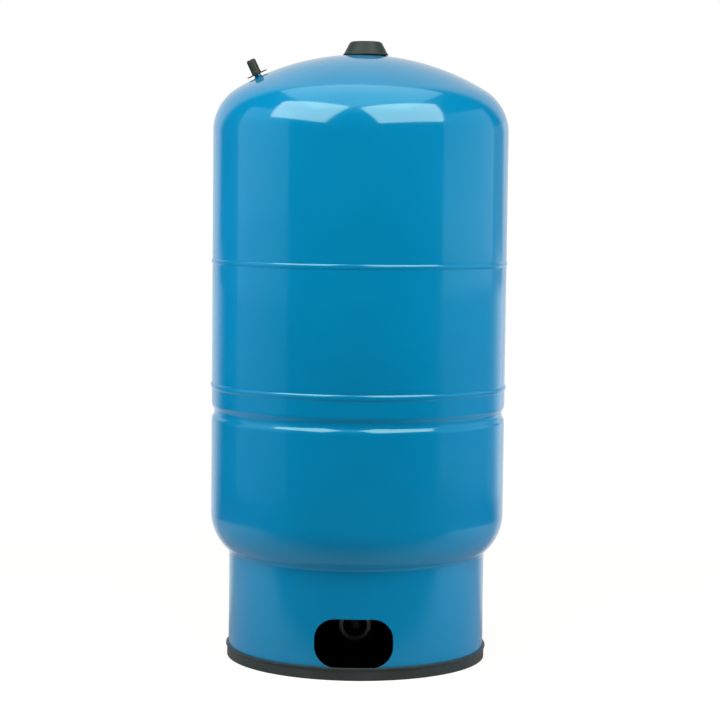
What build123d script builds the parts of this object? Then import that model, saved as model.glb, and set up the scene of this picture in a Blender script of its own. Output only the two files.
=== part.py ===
from build123d import *
import math
import os

# Well pressure tank. Sizes are in millimetres. The tank stands on z = 0 with its
# axis on z, and the pipe slot in its stand faces -y.

# Pressure shell: two pressed heads of one shape and a rolled band between them
body_diameter = 390.6
shell_wall = 1.6
crown_radius = 316.4
knuckle_radius = 65.0
lower_skirt_length = 170.0
band_length = 163.9
upper_skirt_length = 171.9

# Joggled girth seams: the band's ends are swaged in to slip inside the heads
lap_length = 12.0
swage_height = 2.5
root_opening = 1.2
upper_bead_width = 7.0
upper_bead_rise = 1.0
lower_bead_width = 8.0
lower_bead_rise = 1.4

# Clamp groove rolled into the lower shell, and the hoop ring behind it
groove_drop = 34.9
groove_width = 24.0
groove_depth = 3.4
hoop_wall = 1.2
hoop_flange = 3.0

# Plastic liner and rubber diaphragm
liner_wall = 1.5
liner_clearance = 0.6
diaphragm_wall = 2.0
diaphragm_rest_gap = 2.2
rim_rise = 16.0
rim_drop = 15.0
step_height = 14.0
lip_length = 27.0

# Stand, set in from the body's side, with a slot centred slot_drop below the outlet
stand_inset = 24.6
stand_wall = 1.5
stand_bead_leg = 2.5
slot_width = 100.8
slot_height = 62.8
slot_end_flat = 9.4
slot_drop = 0.7

# Longitudinal seams that close the rolled band and the rolled stand, at the back
seam_bead_width = 7.0
seam_bead_rise = 0.9
seam_bead_clearance = 3.0

# Base ring
ring_floor = 2.5
ring_wall = 1.7
ring_outer_height = 16.5
ring_inner_height = 12.0
ring_lip_width = 1.5
ring_lip_height = 2.4

# Outlet elbow: the stand holds the bottom head elbow_drop above the mouth's axis
elbow_axis_height = 48.0
elbow_drop = 44.0
elbow_reach = 50.0
elbow_bore_radius = 13.0
elbow_wall = 5.5
elbow_bend_radius = 26.0
mouth_band_radius = 22.5
mouth_band_length = 14.0
mouth_band_edge = 1.5
mouth_thread_radius = 14.68
mouth_thread_length = 20.0
spigot_rim = 1.9
spigot_drop = 9.0
outlet_bead_leg = 3.0

# Liner neck, its seal and its retainer, in the top of the spigot
neck_radius = 15.4
neck_length = 9.0
neck_seal_width = 2.6
neck_seal_height = 2.2
retainer_flange_radius = 24.0
retainer_wall = 1.6

# Crown boss and its cover, set a little to one side of the axis
crown_offset = 5.2
boss_radius = 16.0
boss_bead_leg = 3.0
cover_height = 17.5
cover_lip_width = 1.0
cover_lip_height = 1.6
cover_flare = 8.6
cover_shoulder = 4.3
cover_corner_radius = 6.0
cover_wall = 2.0
cover_socket_wall = 1.6
cover_socket_length = 7.0

# Air valve, on the dome's normal
valve_bearing = 186.0
valve_foot_inset = 58.8
stem_foot_diameter = 9.0
stem_foot_length = 3.5
stem_inner_length = 4.0
stem_neck_diameter = 7.7
stem_top_height = 21.8
stem_bead_leg = 1.2
washer_diameter = 28.0
washer_thickness = 1.3

# Valve cap
cap_collar_diameter = 12.8
cap_collar_height = 2.4
cap_grip_diameter = 11.6
cap_tip_diameter = 9.6
cap_tip_height = 1.6
cap_roof = 1.5
cap_rib_count = 14
cap_rib_radius = 0.55
cap_seal_wall = 1.2
cap_seal_thickness = 1.2

# Valve core, screwed into the stem
core_nose_diameter = 4.0
core_nose_length = 2.6
core_nose_clearance = 0.3
core_seat_width = 0.3
core_seat_depth = 8.8
core_top_depth = 1.2
core_gasket_thickness = 0.6
core_throat_diameter = 1.9
core_spring_bore = 3.2
core_bridge_thickness = 1.2
core_bridge_width = 2.6
core_ledge_height = 0.6
pin_diameter = 1.2
pin_top_depth = 0.6
pin_cup_diameter = 3.8
pin_cup_thickness = 0.8
pin_seal_thickness = 1.0
pin_collar_diameter = 2.6
pin_collar_thickness = 0.6
pin_collar_drop = 0.6
spring_wire = 0.36
spring_turns = 4

# Clearances: fixed pieces that seat on each other, and pieces that come off
seat_gap = 0.1
free_gap = 0.3
fit_gap = 0.08

body_radius = body_diameter / 2
stand_radius = body_radius - stand_inset
knuckle_centre_radius = body_radius - knuckle_radius
crown_to_knuckle = crown_radius - knuckle_radius
crown_set_back = math.sqrt(crown_to_knuckle**2 - knuckle_centre_radius**2)
blend_angle = math.degrees(math.atan2(crown_set_back, knuckle_centre_radius))

bottom_crown_centre = elbow_axis_height + elbow_drop + crown_radius
lower_tangent_height = bottom_crown_centre - crown_set_back
lower_seam_height = lower_tangent_height + lower_skirt_length
upper_seam_height = lower_seam_height + band_length
upper_tangent_height = upper_seam_height + upper_skirt_length
top_crown_centre = upper_tangent_height - crown_set_back

groove_height = lower_seam_height - groove_drop
groove_half = groove_width / 2
groove_turn = 2 * math.degrees(math.atan(groove_depth / groove_half))
groove_radius = groove_half / (2 * math.sin(math.radians(groove_turn)))

elbow_body_radius = elbow_bore_radius + elbow_wall
spigot_radius = neck_radius + seat_gap + neck_seal_width + spigot_rim
cover_top_radius = boss_radius + cover_shoulder
cover_foot_radius = cover_top_radius + cover_flare
valve_foot_radius = body_radius - valve_foot_inset
cap_height = stem_top_height + seat_gap + cap_seal_thickness + cap_roof
core_chamber_diameter = core_nose_diameter + 2 * core_nose_clearance
core_thread_diameter = core_chamber_diameter + 2 * core_seat_width

UP = 1
DOWN = -1


def turned(*items):
    """Solid of revolution about z. Items are arcs and (radius, height) points in order."""
    edges = []
    ends = []
    for item in items:
        if isinstance(item, tuple):
            point = Vector(*item)
            ends.append((point, point))
        else:
            edges.append(item)
            ends.append((item @ 0, item @ 1))
    for (_, start), (end, _) in zip(ends, ends[1:] + ends[:1]):
        if (end - start).length > 1e-6:
            edges.append(Line(start, end))
    return revolve(Plane.XZ * make_face(edges), Axis.Z)


def head_arcs(side, inset, hole_radius=0.0, outwards=False):
    """Knuckle and crown of a head, inset from the outer face, in to a hole or the axis."""
    tangent = upper_tangent_height if side == UP else lower_tangent_height
    crown = top_crown_centre if side == UP else bottom_crown_centre
    hole_angle = math.degrees(math.acos(hole_radius / (crown_radius - inset)))
    blend = side * blend_angle
    sweep = side * (hole_angle - blend_angle)
    knuckle_centre = (knuckle_centre_radius, tangent)
    if outwards:
        return [
            CenterArc((0, crown), crown_radius - inset, side * hole_angle, -sweep),
            CenterArc(knuckle_centre, knuckle_radius - inset, blend, -blend),
        ]
    return [
        CenterArc(knuckle_centre, knuckle_radius - inset, 0, blend),
        CenterArc((0, crown), crown_radius - inset, blend, sweep),
    ]


def groove_arcs(inset, upwards=False):
    """Shoulder, valley and shoulder of the clamp groove, inset from the outer face."""
    shoulder = body_radius - groove_radius
    valley = body_radius - groove_depth + groove_radius
    top = (shoulder, groove_height + groove_half)
    middle = (valley, groove_height)
    bottom = (shoulder, groove_height - groove_half)
    turn = groove_turn
    if upwards:
        return [
            CenterArc(bottom, groove_radius - inset, 0, turn),
            CenterArc(middle, groove_radius + inset, 180 + turn, -2 * turn),
            CenterArc(top, groove_radius - inset, -turn, turn),
        ]
    return [
        CenterArc(top, groove_radius - inset, 0, -turn),
        CenterArc(middle, groove_radius + inset, 180 - turn, 2 * turn),
        CenterArc(bottom, groove_radius - inset, turn, -turn),
    ]


def bottom_head_height(radius, inset=0.0):
    """Height of the bottom head's face at a radius, on its crown or its knuckle."""
    reach = crown_radius - inset
    if radius <= reach * knuckle_centre_radius / crown_to_knuckle:
        return bottom_crown_centre - math.sqrt(reach**2 - radius**2)
    out = radius - knuckle_centre_radius
    return lower_tangent_height - math.sqrt((knuckle_radius - inset) ** 2 - out**2)


def crown_height(radius):
    """Height of the dome's outer face at a radius, on its crown."""
    return top_crown_centre + math.sqrt(crown_radius**2 - radius**2)


def tank_form():
    """The filled outer form of the tank, which welds and welded pieces are cut to."""
    side = [(body_radius, upper_tangent_height), (body_radius, lower_tangent_height)]
    top = head_arcs(UP, 0, outwards=True)
    bottom = head_arcs(DOWN, 0)
    return turned(*top, *side, *bottom)


def upper_shell():
    inner = body_radius - shell_wall
    edge = upper_seam_height + root_opening
    dome = turned(
        (body_radius, edge),
        *head_arcs(UP, 0),
        *head_arcs(UP, shell_wall, outwards=True),
        (inner, edge),
    )
    stem_hole = Cylinder(stem_foot_diameter / 2 + seat_gap, 6 * shell_wall)
    return dome - valve_plane() * stem_hole


def band_form():
    """The band before it is slit: a swage at each end carries its lap inside a head."""
    step = shell_wall + seat_gap
    outer = [
        (body_radius - step, upper_seam_height + lap_length),
        (body_radius - step, upper_seam_height),
        (body_radius, upper_seam_height - swage_height),
        (body_radius, lower_seam_height + swage_height),
        (body_radius - step, lower_seam_height),
        (body_radius - step, lower_seam_height - lap_length),
    ]
    inner = [(radius - shell_wall, height) for radius, height in reversed(outer)]
    return turned(*outer, *inner)


def seam_slit():
    """Slab at the back, as wide as a root opening, that slits a rolled cylinder open."""
    slab = Box(root_opening, body_radius, upper_tangent_height)
    return Pos(0, body_radius / 2 + shell_wall, upper_tangent_height / 2) * slab


def seam_bead(face_radius, low, high):
    """Low round cap of a longitudinal weld on an outer face of that radius."""
    crest_radius = (seam_bead_width**2 / 4 + seam_bead_rise**2) / (2 * seam_bead_rise)
    upright = (Align.CENTER, Align.CENTER, Align.MIN)
    cap = Cylinder(crest_radius, high - low, align=upright)
    face = Cylinder(face_radius, high - low, align=upright)
    aside = face_radius + seam_bead_rise - crest_radius
    return Pos(0, 0, low) * (Pos(0, aside, 0) * cap - face)


def middle_shell():
    return band_form() - seam_slit()


def band_weld():
    """Weld through the band's slit, capped outside between the girth beads."""
    low = lower_seam_height + lower_bead_width / 2 + seam_bead_clearance
    high = upper_seam_height - upper_bead_width / 2 - seam_bead_clearance
    return (band_form() & seam_slit()) + seam_bead(body_radius, low, high)


def lower_shell():
    hole = spigot_radius + seat_gap
    edge = lower_seam_height - root_opening
    return turned(
        (body_radius, edge),
        *groove_arcs(0),
        *head_arcs(DOWN, 0, hole),
        *head_arcs(DOWN, shell_wall, hole, outwards=True),
        *groove_arcs(shell_wall, upwards=True),
        (body_radius - shell_wall, edge),
    )


def girth_weld(seam_height, side, width, rise):
    """Bead that fills the swage between a head's edge and the band, and caps both."""
    step = shell_wall + seat_gap
    crest = ThreePointArc(
        (body_radius, seam_height - side * width / 2),
        (body_radius + rise, seam_height),
        (body_radius, seam_height + side * width / 2),
    )
    return turned(
        crest,
        (body_radius, seam_height + side * root_opening),
        (body_radius - step, seam_height + side * root_opening),
        (body_radius - step, seam_height),
        (body_radius, seam_height - side * swage_height),
    )


def hoop_ring():
    """Rolled steel channel that follows the groove from inside."""
    outer = shell_wall + seat_gap
    inner = outer + hoop_wall
    top = groove_height + groove_half + hoop_flange
    bottom = groove_height - groove_half - hoop_flange
    return turned(
        (body_radius - outer, top),
        *groove_arcs(outer),
        (body_radius - outer, bottom),
        (body_radius - inner, bottom),
        *groove_arcs(inner, upwards=True),
        (body_radius - inner, top),
    )


def lip_inset():
    """How far in from the outer face the diaphragm's turned-down lip starts."""
    return groove_depth + shell_wall + hoop_wall + 2 * seat_gap


def liner_rim_inset():
    return lip_inset() + diaphragm_wall + seat_gap


def liner_bowl_inset():
    return shell_wall + liner_clearance


def liner():
    """Moulded bowl: a clamped rim, a step out to the shell, the bowl and its neck."""
    rim = body_radius - liner_rim_inset()
    bowl = liner_bowl_inset()
    top = groove_height + rim_rise
    step_top = groove_height - rim_drop
    step_bottom = step_top - step_height
    neck_bottom = spigot_top() - neck_length
    neck_bore = neck_radius - liner_wall
    return turned(
        (rim, top),
        (rim, step_top),
        (body_radius - bowl, step_bottom),
        *head_arcs(DOWN, bowl, neck_radius),
        (neck_radius, neck_bottom),
        (neck_bore, neck_bottom),
        *head_arcs(DOWN, bowl + liner_wall, neck_bore, outwards=True),
        (body_radius - bowl - liner_wall, step_bottom),
        (rim - liner_wall, step_top),
        (rim - liner_wall, top),
    )


def diaphragm():
    """Rubber bag lying in the liner, with its lip folded over the liner's rim."""
    lip = body_radius - lip_inset()
    inner_leg = body_radius - liner_rim_inset() - liner_wall - seat_gap
    bowl = liner_bowl_inset() + liner_wall + diaphragm_rest_gap
    fold = groove_height + rim_rise + seat_gap
    step_top = groove_height - rim_drop
    step_bottom = step_top - step_height
    return turned(
        (lip, fold + diaphragm_wall - lip_length),
        (lip, fold + diaphragm_wall),
        (inner_leg - diaphragm_wall, fold + diaphragm_wall),
        (inner_leg - diaphragm_wall, step_top),
        (body_radius - bowl - diaphragm_wall, step_bottom),
        *head_arcs(DOWN, bowl + diaphragm_wall),
        *head_arcs(DOWN, bowl, outwards=True),
        (body_radius - bowl, step_bottom),
        (inner_leg, step_top),
        (inner_leg, fold),
        (lip - diaphragm_wall, fold),
        (lip - diaphragm_wall, fold + diaphragm_wall - lip_length),
    )


def stand_form(form):
    """Cylinder cut to the head it is welded under, before its slot and its seam."""
    inner = stand_radius - stand_wall
    tube = turned(
        (stand_radius, ring_floor),
        (stand_radius, lower_tangent_height),
        (inner, lower_tangent_height),
        (inner, ring_floor),
    )
    return tube - form


def stand(form):
    """Rolled cylinder with the pipe slot in front of the outlet's mouth."""
    outline = RectangleRounded(slot_width, slot_height, (slot_height - slot_end_flat) / 2)
    cutter = Pos(0, 0, elbow_axis_height - slot_drop) * extrude(Plane.XZ * outline, body_radius)
    return stand_form(form) - seam_slit() - cutter


def stand_seam_weld(form):
    """Weld through the stand's slit, capped outside between the ring and the head."""
    low = ring_outer_height + seam_bead_clearance
    high = bottom_head_height(stand_radius) - stand_bead_leg - seam_bead_clearance
    return (stand_form(form) & seam_slit()) + seam_bead(stand_radius, low, high)


def stand_weld(form):
    """Small outside fillet between the stand and the bottom head."""
    meet = bottom_head_height(stand_radius)
    out = stand_radius + stand_bead_leg
    corner = (out, bottom_head_height(out))
    section = turned((stand_radius, meet - stand_bead_leg), corner, (stand_radius, corner[1]))
    return section - form


def base_ring():
    """Moulded channel that the stand's edge sits in, with a lip turned outwards."""
    outer_face = stand_radius + seat_gap
    outside = outer_face + ring_wall
    inner_face = stand_radius - stand_wall - seat_gap
    inside = inner_face - ring_wall
    lip = outside + ring_lip_width
    lip_foot = ring_outer_height - ring_lip_height
    return turned(
        (inside, 0),
        (outside, 0),
        (outside, lip_foot - ring_lip_width),
        (lip, lip_foot),
        (lip, ring_outer_height),
        (outer_face, ring_outer_height),
        (outer_face, ring_floor),
        (inner_face, ring_floor),
        (inner_face, ring_inner_height),
        (inside, ring_inner_height),
    )


def spigot_top():
    """Height of the elbow's top face, just under the liner round its neck."""
    return bottom_head_height(neck_radius, liner_bowl_inset()) - seat_gap


def elbow_bend(top, radius):
    """Round bar from a height down the axis and out to the mouth, in one quarter bend."""
    path = FilletPolyline(
        (0, 0, top),
        (0, 0, elbow_axis_height),
        (0, -elbow_reach, elbow_axis_height),
        radius=elbow_bend_radius,
    )
    return sweep(Plane.XY.offset(top) * Circle(radius), path)


def outlet_elbow():
    """Cast elbow: spigot up through the head, quarter bend, banded female mouth."""
    top = spigot_top()
    shoulder = bottom_head_height(spigot_radius) - spigot_drop
    spigot = turned(
        (0, shoulder - spigot_radius + elbow_body_radius),
        (elbow_body_radius, shoulder - spigot_radius + elbow_body_radius),
        (spigot_radius, shoulder),
        (spigot_radius, top),
        (0, top),
    )
    mouth = Plane((0, -elbow_reach, elbow_axis_height), z_dir=(0, 1, 0))
    band = mouth * turned(
        (0, 0),
        (mouth_band_radius - mouth_band_edge, 0),
        (mouth_band_radius, mouth_band_edge),
        (mouth_band_radius, mouth_band_length - mouth_band_edge),
        (mouth_band_radius - 2 * mouth_band_edge, mouth_band_length + mouth_band_edge),
        (0, mouth_band_length + mouth_band_edge),
    )
    thread = mouth * Cylinder(
        mouth_thread_radius, mouth_thread_length, align=(Align.CENTER, Align.CENTER, Align.MIN)
    )
    neck_socket = turned(
        (0, top - neck_length - seat_gap),
        (neck_radius + seat_gap, top - neck_length - seat_gap),
        (neck_radius + seat_gap, top - neck_seal_height),
        (neck_radius + seat_gap + neck_seal_width, top - neck_seal_height),
        (neck_radius + seat_gap + neck_seal_width, top),
        (0, top),
    )
    body = elbow_bend(shoulder, elbow_body_radius) + spigot + band
    return body - elbow_bend(top, elbow_bore_radius) - thread - neck_socket


def outlet_weld(form):
    """Fillet between the spigot and the underside of the bottom head."""
    meet = bottom_head_height(spigot_radius)
    out = spigot_radius + outlet_bead_leg
    corner = (out, bottom_head_height(out))
    section = turned((spigot_radius, meet - outlet_bead_leg), corner, (spigot_radius, corner[1]))
    return section - form


def liner_seal():
    """Rubber ring in the spigot's top recess, round the liner's neck."""
    inside = neck_radius + seat_gap
    outside = inside + neck_seal_width - seat_gap
    top = spigot_top()
    bottom = top - neck_seal_height
    return turned((inside, bottom), (outside, bottom), (outside, top), (inside, top))


def liner_retainer():
    """Flanged bush pushed into the liner's neck from the water side."""
    sleeve = neck_radius - liner_wall - seat_gap
    bore = sleeve - retainer_wall
    seat = liner_bowl_inset() + liner_wall
    under = bottom_head_height(retainer_flange_radius, seat) + seat_gap
    roof = bottom_head_height(0, seat + diaphragm_rest_gap) - seat_gap
    foot = spigot_top() - neck_length
    return turned(
        (bore, foot),
        (sleeve, foot),
        (sleeve, under),
        (retainer_flange_radius, under),
        (retainer_flange_radius, roof),
        (bore, roof),
    )


def cover_roof():
    """Height of the underside of the top cover's roof."""
    return crown_height(0) + cover_height - cover_wall


def crown_boss(form):
    """Solid boss whose foot is cut to the dome, and whose top the cover sits over."""
    foot = crown_height(crown_offset + boss_radius) - boss_bead_leg
    height = cover_roof() - free_gap - foot
    boss = Cylinder(boss_radius, height, align=(Align.CENTER, Align.CENTER, Align.MIN))
    return Pos(crown_offset, 0, foot) * boss - form


def crown_weld(form):
    """Fillet between the boss and the dome."""
    outside = boss_radius + boss_bead_leg
    toe = crown_height(outside - crown_offset)
    foot = toe - boss_bead_leg
    crest = toe + boss_bead_leg
    bead = turned((boss_radius, foot), (outside, foot), (outside, toe), (boss_radius, crest))
    return Pos(crown_offset, 0, 0) * bead - form


def top_cover():
    """Moulded cover that pushes over the boss and comes down just clear of the dome."""
    rim_bore = cover_foot_radius - cover_wall
    rim = crown_height(rim_bore - crown_offset) + free_gap
    roof = cover_roof()
    top = roof + cover_wall
    socket_bore = boss_radius + fit_gap
    socket_foot = roof - cover_socket_length
    lip = cover_foot_radius + cover_lip_width
    cover = turned(
        (0, top),
        (0, roof),
        (socket_bore, roof),
        (socket_bore, socket_foot),
        (socket_bore + cover_socket_wall, socket_foot),
        (socket_bore + cover_socket_wall, roof),
        (cover_top_radius - cover_wall, roof),
        (rim_bore, rim + cover_lip_height),
        (rim_bore, rim),
        (lip, rim),
        (lip, rim + cover_lip_height),
        (cover_foot_radius, rim + cover_lip_height),
        (cover_top_radius, top),
    )
    corner = cover.edges().filter_by(GeomType.CIRCLE).sort_by(Axis.Z)[-1]
    return Pos(crown_offset, 0, 0) * fillet(corner, cover_corner_radius)


def valve_plane():
    """Plane at the valve's foot on the dome, whose z is the dome's normal."""
    bearing = math.radians(valve_bearing)
    x = valve_foot_radius * math.cos(bearing)
    y = valve_foot_radius * math.sin(bearing)
    z = crown_height(valve_foot_radius)
    return Plane((x, y, z), z_dir=(x, y, z - top_crown_centre))


def core_seat():
    """Height up the stem of the step that the core's gasket seats on."""
    return stem_top_height - core_seat_depth


def core_nose_end():
    return core_seat() + core_gasket_thickness - core_nose_length


def valve_stem():
    foot = stem_foot_diameter / 2
    neck = stem_neck_diameter / 2
    thread = core_thread_diameter / 2 + seat_gap
    chamber = core_chamber_diameter / 2
    bevel = (neck - thread) / 3
    return turned(
        (chamber, -stem_inner_length),
        (foot, -stem_inner_length),
        (foot, stem_foot_length),
        (neck, stem_foot_length),
        (neck, stem_top_height - bevel),
        (neck - bevel, stem_top_height),
        (thread, stem_top_height),
        (thread, core_seat()),
        (chamber, core_seat()),
    )


def stem_weld(form):
    """Small fillet round the stem's foot, cut to the dome."""
    foot = stem_foot_diameter / 2
    toe = foot + stem_bead_leg
    bead = turned((foot, -stem_bead_leg), (toe, -stem_bead_leg), (toe, 0), (foot, stem_bead_leg))
    return valve_plane() * bead - form


def valve_washer():
    bore = stem_neck_diameter / 2 + seat_gap
    rim = washer_diameter / 2
    top = stem_foot_length + washer_thickness
    edge = washer_thickness / 3
    return turned(
        (bore, stem_foot_length),
        (rim - edge, stem_foot_length),
        (rim, stem_foot_length + edge),
        (rim, top - edge),
        (rim - edge, top),
        (bore, top),
    )


def valve_cap():
    """Closed cap with a collar, upright grip ribs and a bevelled tip."""
    foot = stem_foot_length + washer_thickness + free_gap
    bore = stem_neck_diameter / 2 + free_gap
    collar = cap_collar_diameter / 2
    grip = cap_grip_diameter / 2
    shell = turned(
        (bore, foot),
        (collar, foot),
        (collar, foot + cap_collar_height),
        (grip, foot + cap_collar_height + (collar - grip)),
        (grip, cap_height - cap_tip_height),
        (cap_tip_diameter / 2, cap_height),
        (0, cap_height),
        (0, cap_height - cap_roof),
        (bore, cap_height - cap_roof),
    )
    rib_length = cap_height - cap_tip_height - foot - cap_collar_height
    rib = Cylinder(cap_rib_radius, rib_length, align=(Align.CENTER, Align.CENTER, Align.MIN))
    rib_circle = PolarLocations(grip - cap_rib_radius / 3, cap_rib_count)
    foot_of_ribs = Pos(0, 0, foot + cap_collar_height)
    return shell + [foot_of_ribs * place * rib for place in rib_circle]


def valve_cap_seal():
    """Rubber ring held in the cap's roof, on the stem's rim."""
    outside = stem_neck_diameter / 2 + free_gap - seat_gap
    inside = outside - cap_seal_wall
    bottom = stem_top_height + seat_gap
    top = cap_height - cap_roof
    return turned((inside, bottom), (outside, bottom), (outside, top), (inside, top))


def valve_core_gasket():
    inside = core_nose_diameter / 2 + seat_gap
    outside = core_thread_diameter / 2
    top = core_seat() + core_gasket_thickness
    return turned((inside, core_seat()), (outside, core_seat()), (outside, top), (inside, top))


def core_ledge():
    """Height of the ledge in the core that its spring stands on."""
    return core_seat() + core_gasket_thickness + core_ledge_height


def core_top():
    return stem_top_height - core_top_depth


def core_roof():
    return core_top() - core_bridge_thickness


def valve_core_barrel():
    """Threaded barrel with a nose below and a bridge across its top for the key."""
    shoulder = core_seat() + core_gasket_thickness
    thread = core_thread_diameter / 2
    nose = core_nose_diameter / 2
    throat = core_throat_diameter / 2
    spring_bore = core_spring_bore / 2
    barrel = turned(
        (throat, core_nose_end()),
        (nose, core_nose_end()),
        (nose, shoulder),
        (thread, shoulder),
        (thread, core_top()),
        (throat, core_top()),
        (throat, core_roof()),
        (spring_bore, core_roof()),
        (spring_bore, core_ledge()),
        (throat, core_ledge()),
    )
    notch = Box(core_thread_diameter, core_thread_diameter, 2 * core_bridge_thickness)
    aside = (core_bridge_width + core_thread_diameter) / 2
    return barrel - [Pos(side * aside, 0, core_top()) * notch for side in (-1, 1)]


def collar_height():
    """Height of the pin's collar, which the spring pushes up."""
    return core_roof() - pin_collar_drop - pin_collar_thickness


def valve_core_pin():
    """Pin with a collar for the spring and a cup below for its seal."""
    stem = pin_diameter / 2
    cup = pin_cup_diameter / 2
    collar = pin_collar_diameter / 2
    cup_top = core_nose_end() - pin_seal_thickness
    return turned(
        (0, cup_top - pin_cup_thickness),
        (cup, cup_top - pin_cup_thickness),
        (cup, cup_top),
        (stem, cup_top),
        (stem, collar_height()),
        (collar, collar_height()),
        (collar, collar_height() + pin_collar_thickness),
        (stem, collar_height() + pin_collar_thickness),
        (stem, stem_top_height - pin_top_depth),
        (0, stem_top_height - pin_top_depth),
    )


def valve_core_pin_seal():
    inside = pin_diameter / 2
    outside = pin_cup_diameter / 2
    bottom = core_nose_end() - pin_seal_thickness
    top = core_nose_end()
    return turned((inside, bottom), (outside, bottom), (outside, top), (inside, top))


def valve_core_spring():
    """Round wire wound between the barrel's ledge and the pin's collar."""
    coil_radius = (core_spring_bore / 2 + pin_diameter / 2) / 2
    bottom = core_ledge() + spring_wire / 2 + seat_gap / 2
    top = collar_height() - spring_wire / 2 - seat_gap / 2
    rise = top - bottom
    coil = Helix(pitch=rise / spring_turns, height=rise, radius=coil_radius)
    wire = sweep(Plane(coil @ 0, z_dir=coil % 0) * Circle(spring_wire / 2), coil)
    return Pos(0, 0, bottom) * wire


form = tank_form()
on_dome = valve_plane()
parts = {
    "upper_shell": upper_shell(),
    "middle_shell": middle_shell(),
    "lower_shell": lower_shell(),
    "upper_girth_weld": girth_weld(upper_seam_height, UP, upper_bead_width, upper_bead_rise),
    "lower_girth_weld": girth_weld(lower_seam_height, DOWN, lower_bead_width, lower_bead_rise),
    "hoop_ring": hoop_ring(),
    "liner": liner(),
    "diaphragm": diaphragm(),
    "band_weld": band_weld(),
    "stand": stand(form),
    "stand_seam_weld": stand_seam_weld(form),
    "stand_weld": stand_weld(form),
    "base_ring": base_ring(),
    "outlet_elbow": outlet_elbow(),
    "outlet_weld": outlet_weld(form),
    "liner_seal": liner_seal(),
    "liner_retainer": liner_retainer(),
    "crown_boss": crown_boss(form),
    "crown_weld": crown_weld(form),
    "top_cover": top_cover(),
    "valve_stem": on_dome * valve_stem(),
    "stem_weld": stem_weld(form),
    "valve_washer": on_dome * valve_washer(),
    "valve_cap": on_dome * valve_cap(),
    "valve_cap_seal": on_dome * valve_cap_seal(),
    "valve_core_barrel": on_dome * valve_core_barrel(),
    "valve_core_gasket": on_dome * valve_core_gasket(),
    "valve_core_pin": on_dome * valve_core_pin(),
    "valve_core_pin_seal": on_dome * valve_core_pin_seal(),
    "valve_core_spring": on_dome * valve_core_spring(),
}

os.makedirs("parts", exist_ok=True)
for node, solid in parts.items():
    export_step(solid, f"parts/{node}.step")
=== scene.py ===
"""Finish of the well pressure tank: painted shell and stand, ring, outlet, air valve, cover.

Lengths are in metres and angles in radians unless a name says degrees. Every piece is a
surface worked out as one numpy grid: an outline in the (out, along) half plane, turned
about a straight axis or carried round the outlet's bend.
"""

import functools
import logging
import math
from collections.abc import Callable, Sequence
from dataclasses import dataclass, field
from enum import Enum
from typing import Protocol

import bpy
import numpy as np
import numpy.typing as npt
from mathutils import Matrix, Quaternion, Vector


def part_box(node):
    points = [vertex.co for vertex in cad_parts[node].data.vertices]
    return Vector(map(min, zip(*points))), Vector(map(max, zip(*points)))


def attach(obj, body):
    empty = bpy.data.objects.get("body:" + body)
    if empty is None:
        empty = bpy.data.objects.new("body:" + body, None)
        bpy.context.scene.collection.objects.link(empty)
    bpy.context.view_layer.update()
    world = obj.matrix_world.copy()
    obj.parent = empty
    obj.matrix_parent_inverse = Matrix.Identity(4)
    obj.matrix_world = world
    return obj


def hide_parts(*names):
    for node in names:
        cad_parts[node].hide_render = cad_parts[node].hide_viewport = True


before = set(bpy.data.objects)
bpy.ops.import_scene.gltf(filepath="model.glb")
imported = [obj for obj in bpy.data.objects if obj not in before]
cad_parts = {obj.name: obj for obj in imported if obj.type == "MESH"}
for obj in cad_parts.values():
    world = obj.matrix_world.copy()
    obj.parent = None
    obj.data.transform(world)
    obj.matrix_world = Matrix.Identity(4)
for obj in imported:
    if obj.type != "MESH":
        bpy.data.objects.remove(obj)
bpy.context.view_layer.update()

Points = npt.NDArray[np.float64]
Faces = npt.NDArray[np.int64]
Relief = Callable[[Points, Points, Points], Points]
Triple = tuple[float, float, float]
Colour = tuple[float, float, float]
Socket = bpy.types.NodeSocket
LOG = logging.getLogger("pressure_tank")

FULL_TURN = 2 * math.pi
MM = 0.001

# How finely arcs are divided, and a weld's ripples.
KNUCKLE_STEPS = 30
CROWN_STEPS = 44
GROOVE_STEPS = 12
ARCH_STEPS = 20
RIPPLE_STEPS = 6

# Points closer than this are one point, and threads start this far past their end.
SAME_PLACE = 1e-7
THREAD_MARGIN = 1e-6

# Corners whose half angle is this near to 0 or a right angle stay sharp.
STRAIGHT = 1e-3

# Cosine above which two directions are too close to span a plane.
NEARLY_PARALLEL = 0.9

# Radii of edges, from a cut one to a moulded one.
KEEN = 0.1 * MM
FINE = 0.2 * MM
BROKEN = 0.3 * MM
EASED = 0.4 * MM
SOFT = 0.5 * MM
BLUNT = 0.6 * MM
ROUND = 0.8 * MM

BEAD_GAP = 3.0 * MM
PIPE_TAPER = 1 / 32

# Shares of a finish's roughness that it varies between.
ROUGHNESS_SPREAD = (0.85, 1.2)


class Side(Enum):
    """Which head of the tank an outline belongs to."""

    TOP = 1
    BOTTOM = -1


class Slot(Enum):
    """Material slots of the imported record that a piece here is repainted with."""

    SHELL = "painted_shell"
    STAINLESS = "stainless_steel"
    VALVE_STEEL = "valve_steel"
    RING = "ring_plastic"
    COVER = "cover_plastic"
    CAP = "cap_plastic"


class Body(Enum):
    """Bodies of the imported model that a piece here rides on."""

    TANK = "tank"
    COVER = "cover"
    CAP = "cap"


class Centreline(Protocol):
    """A line that an outline is turned about."""

    def place(self, along: Points, out: Points, angle: Points) -> Points:
        """Points at a distance along the line and out from it, at an angle round it."""


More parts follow.
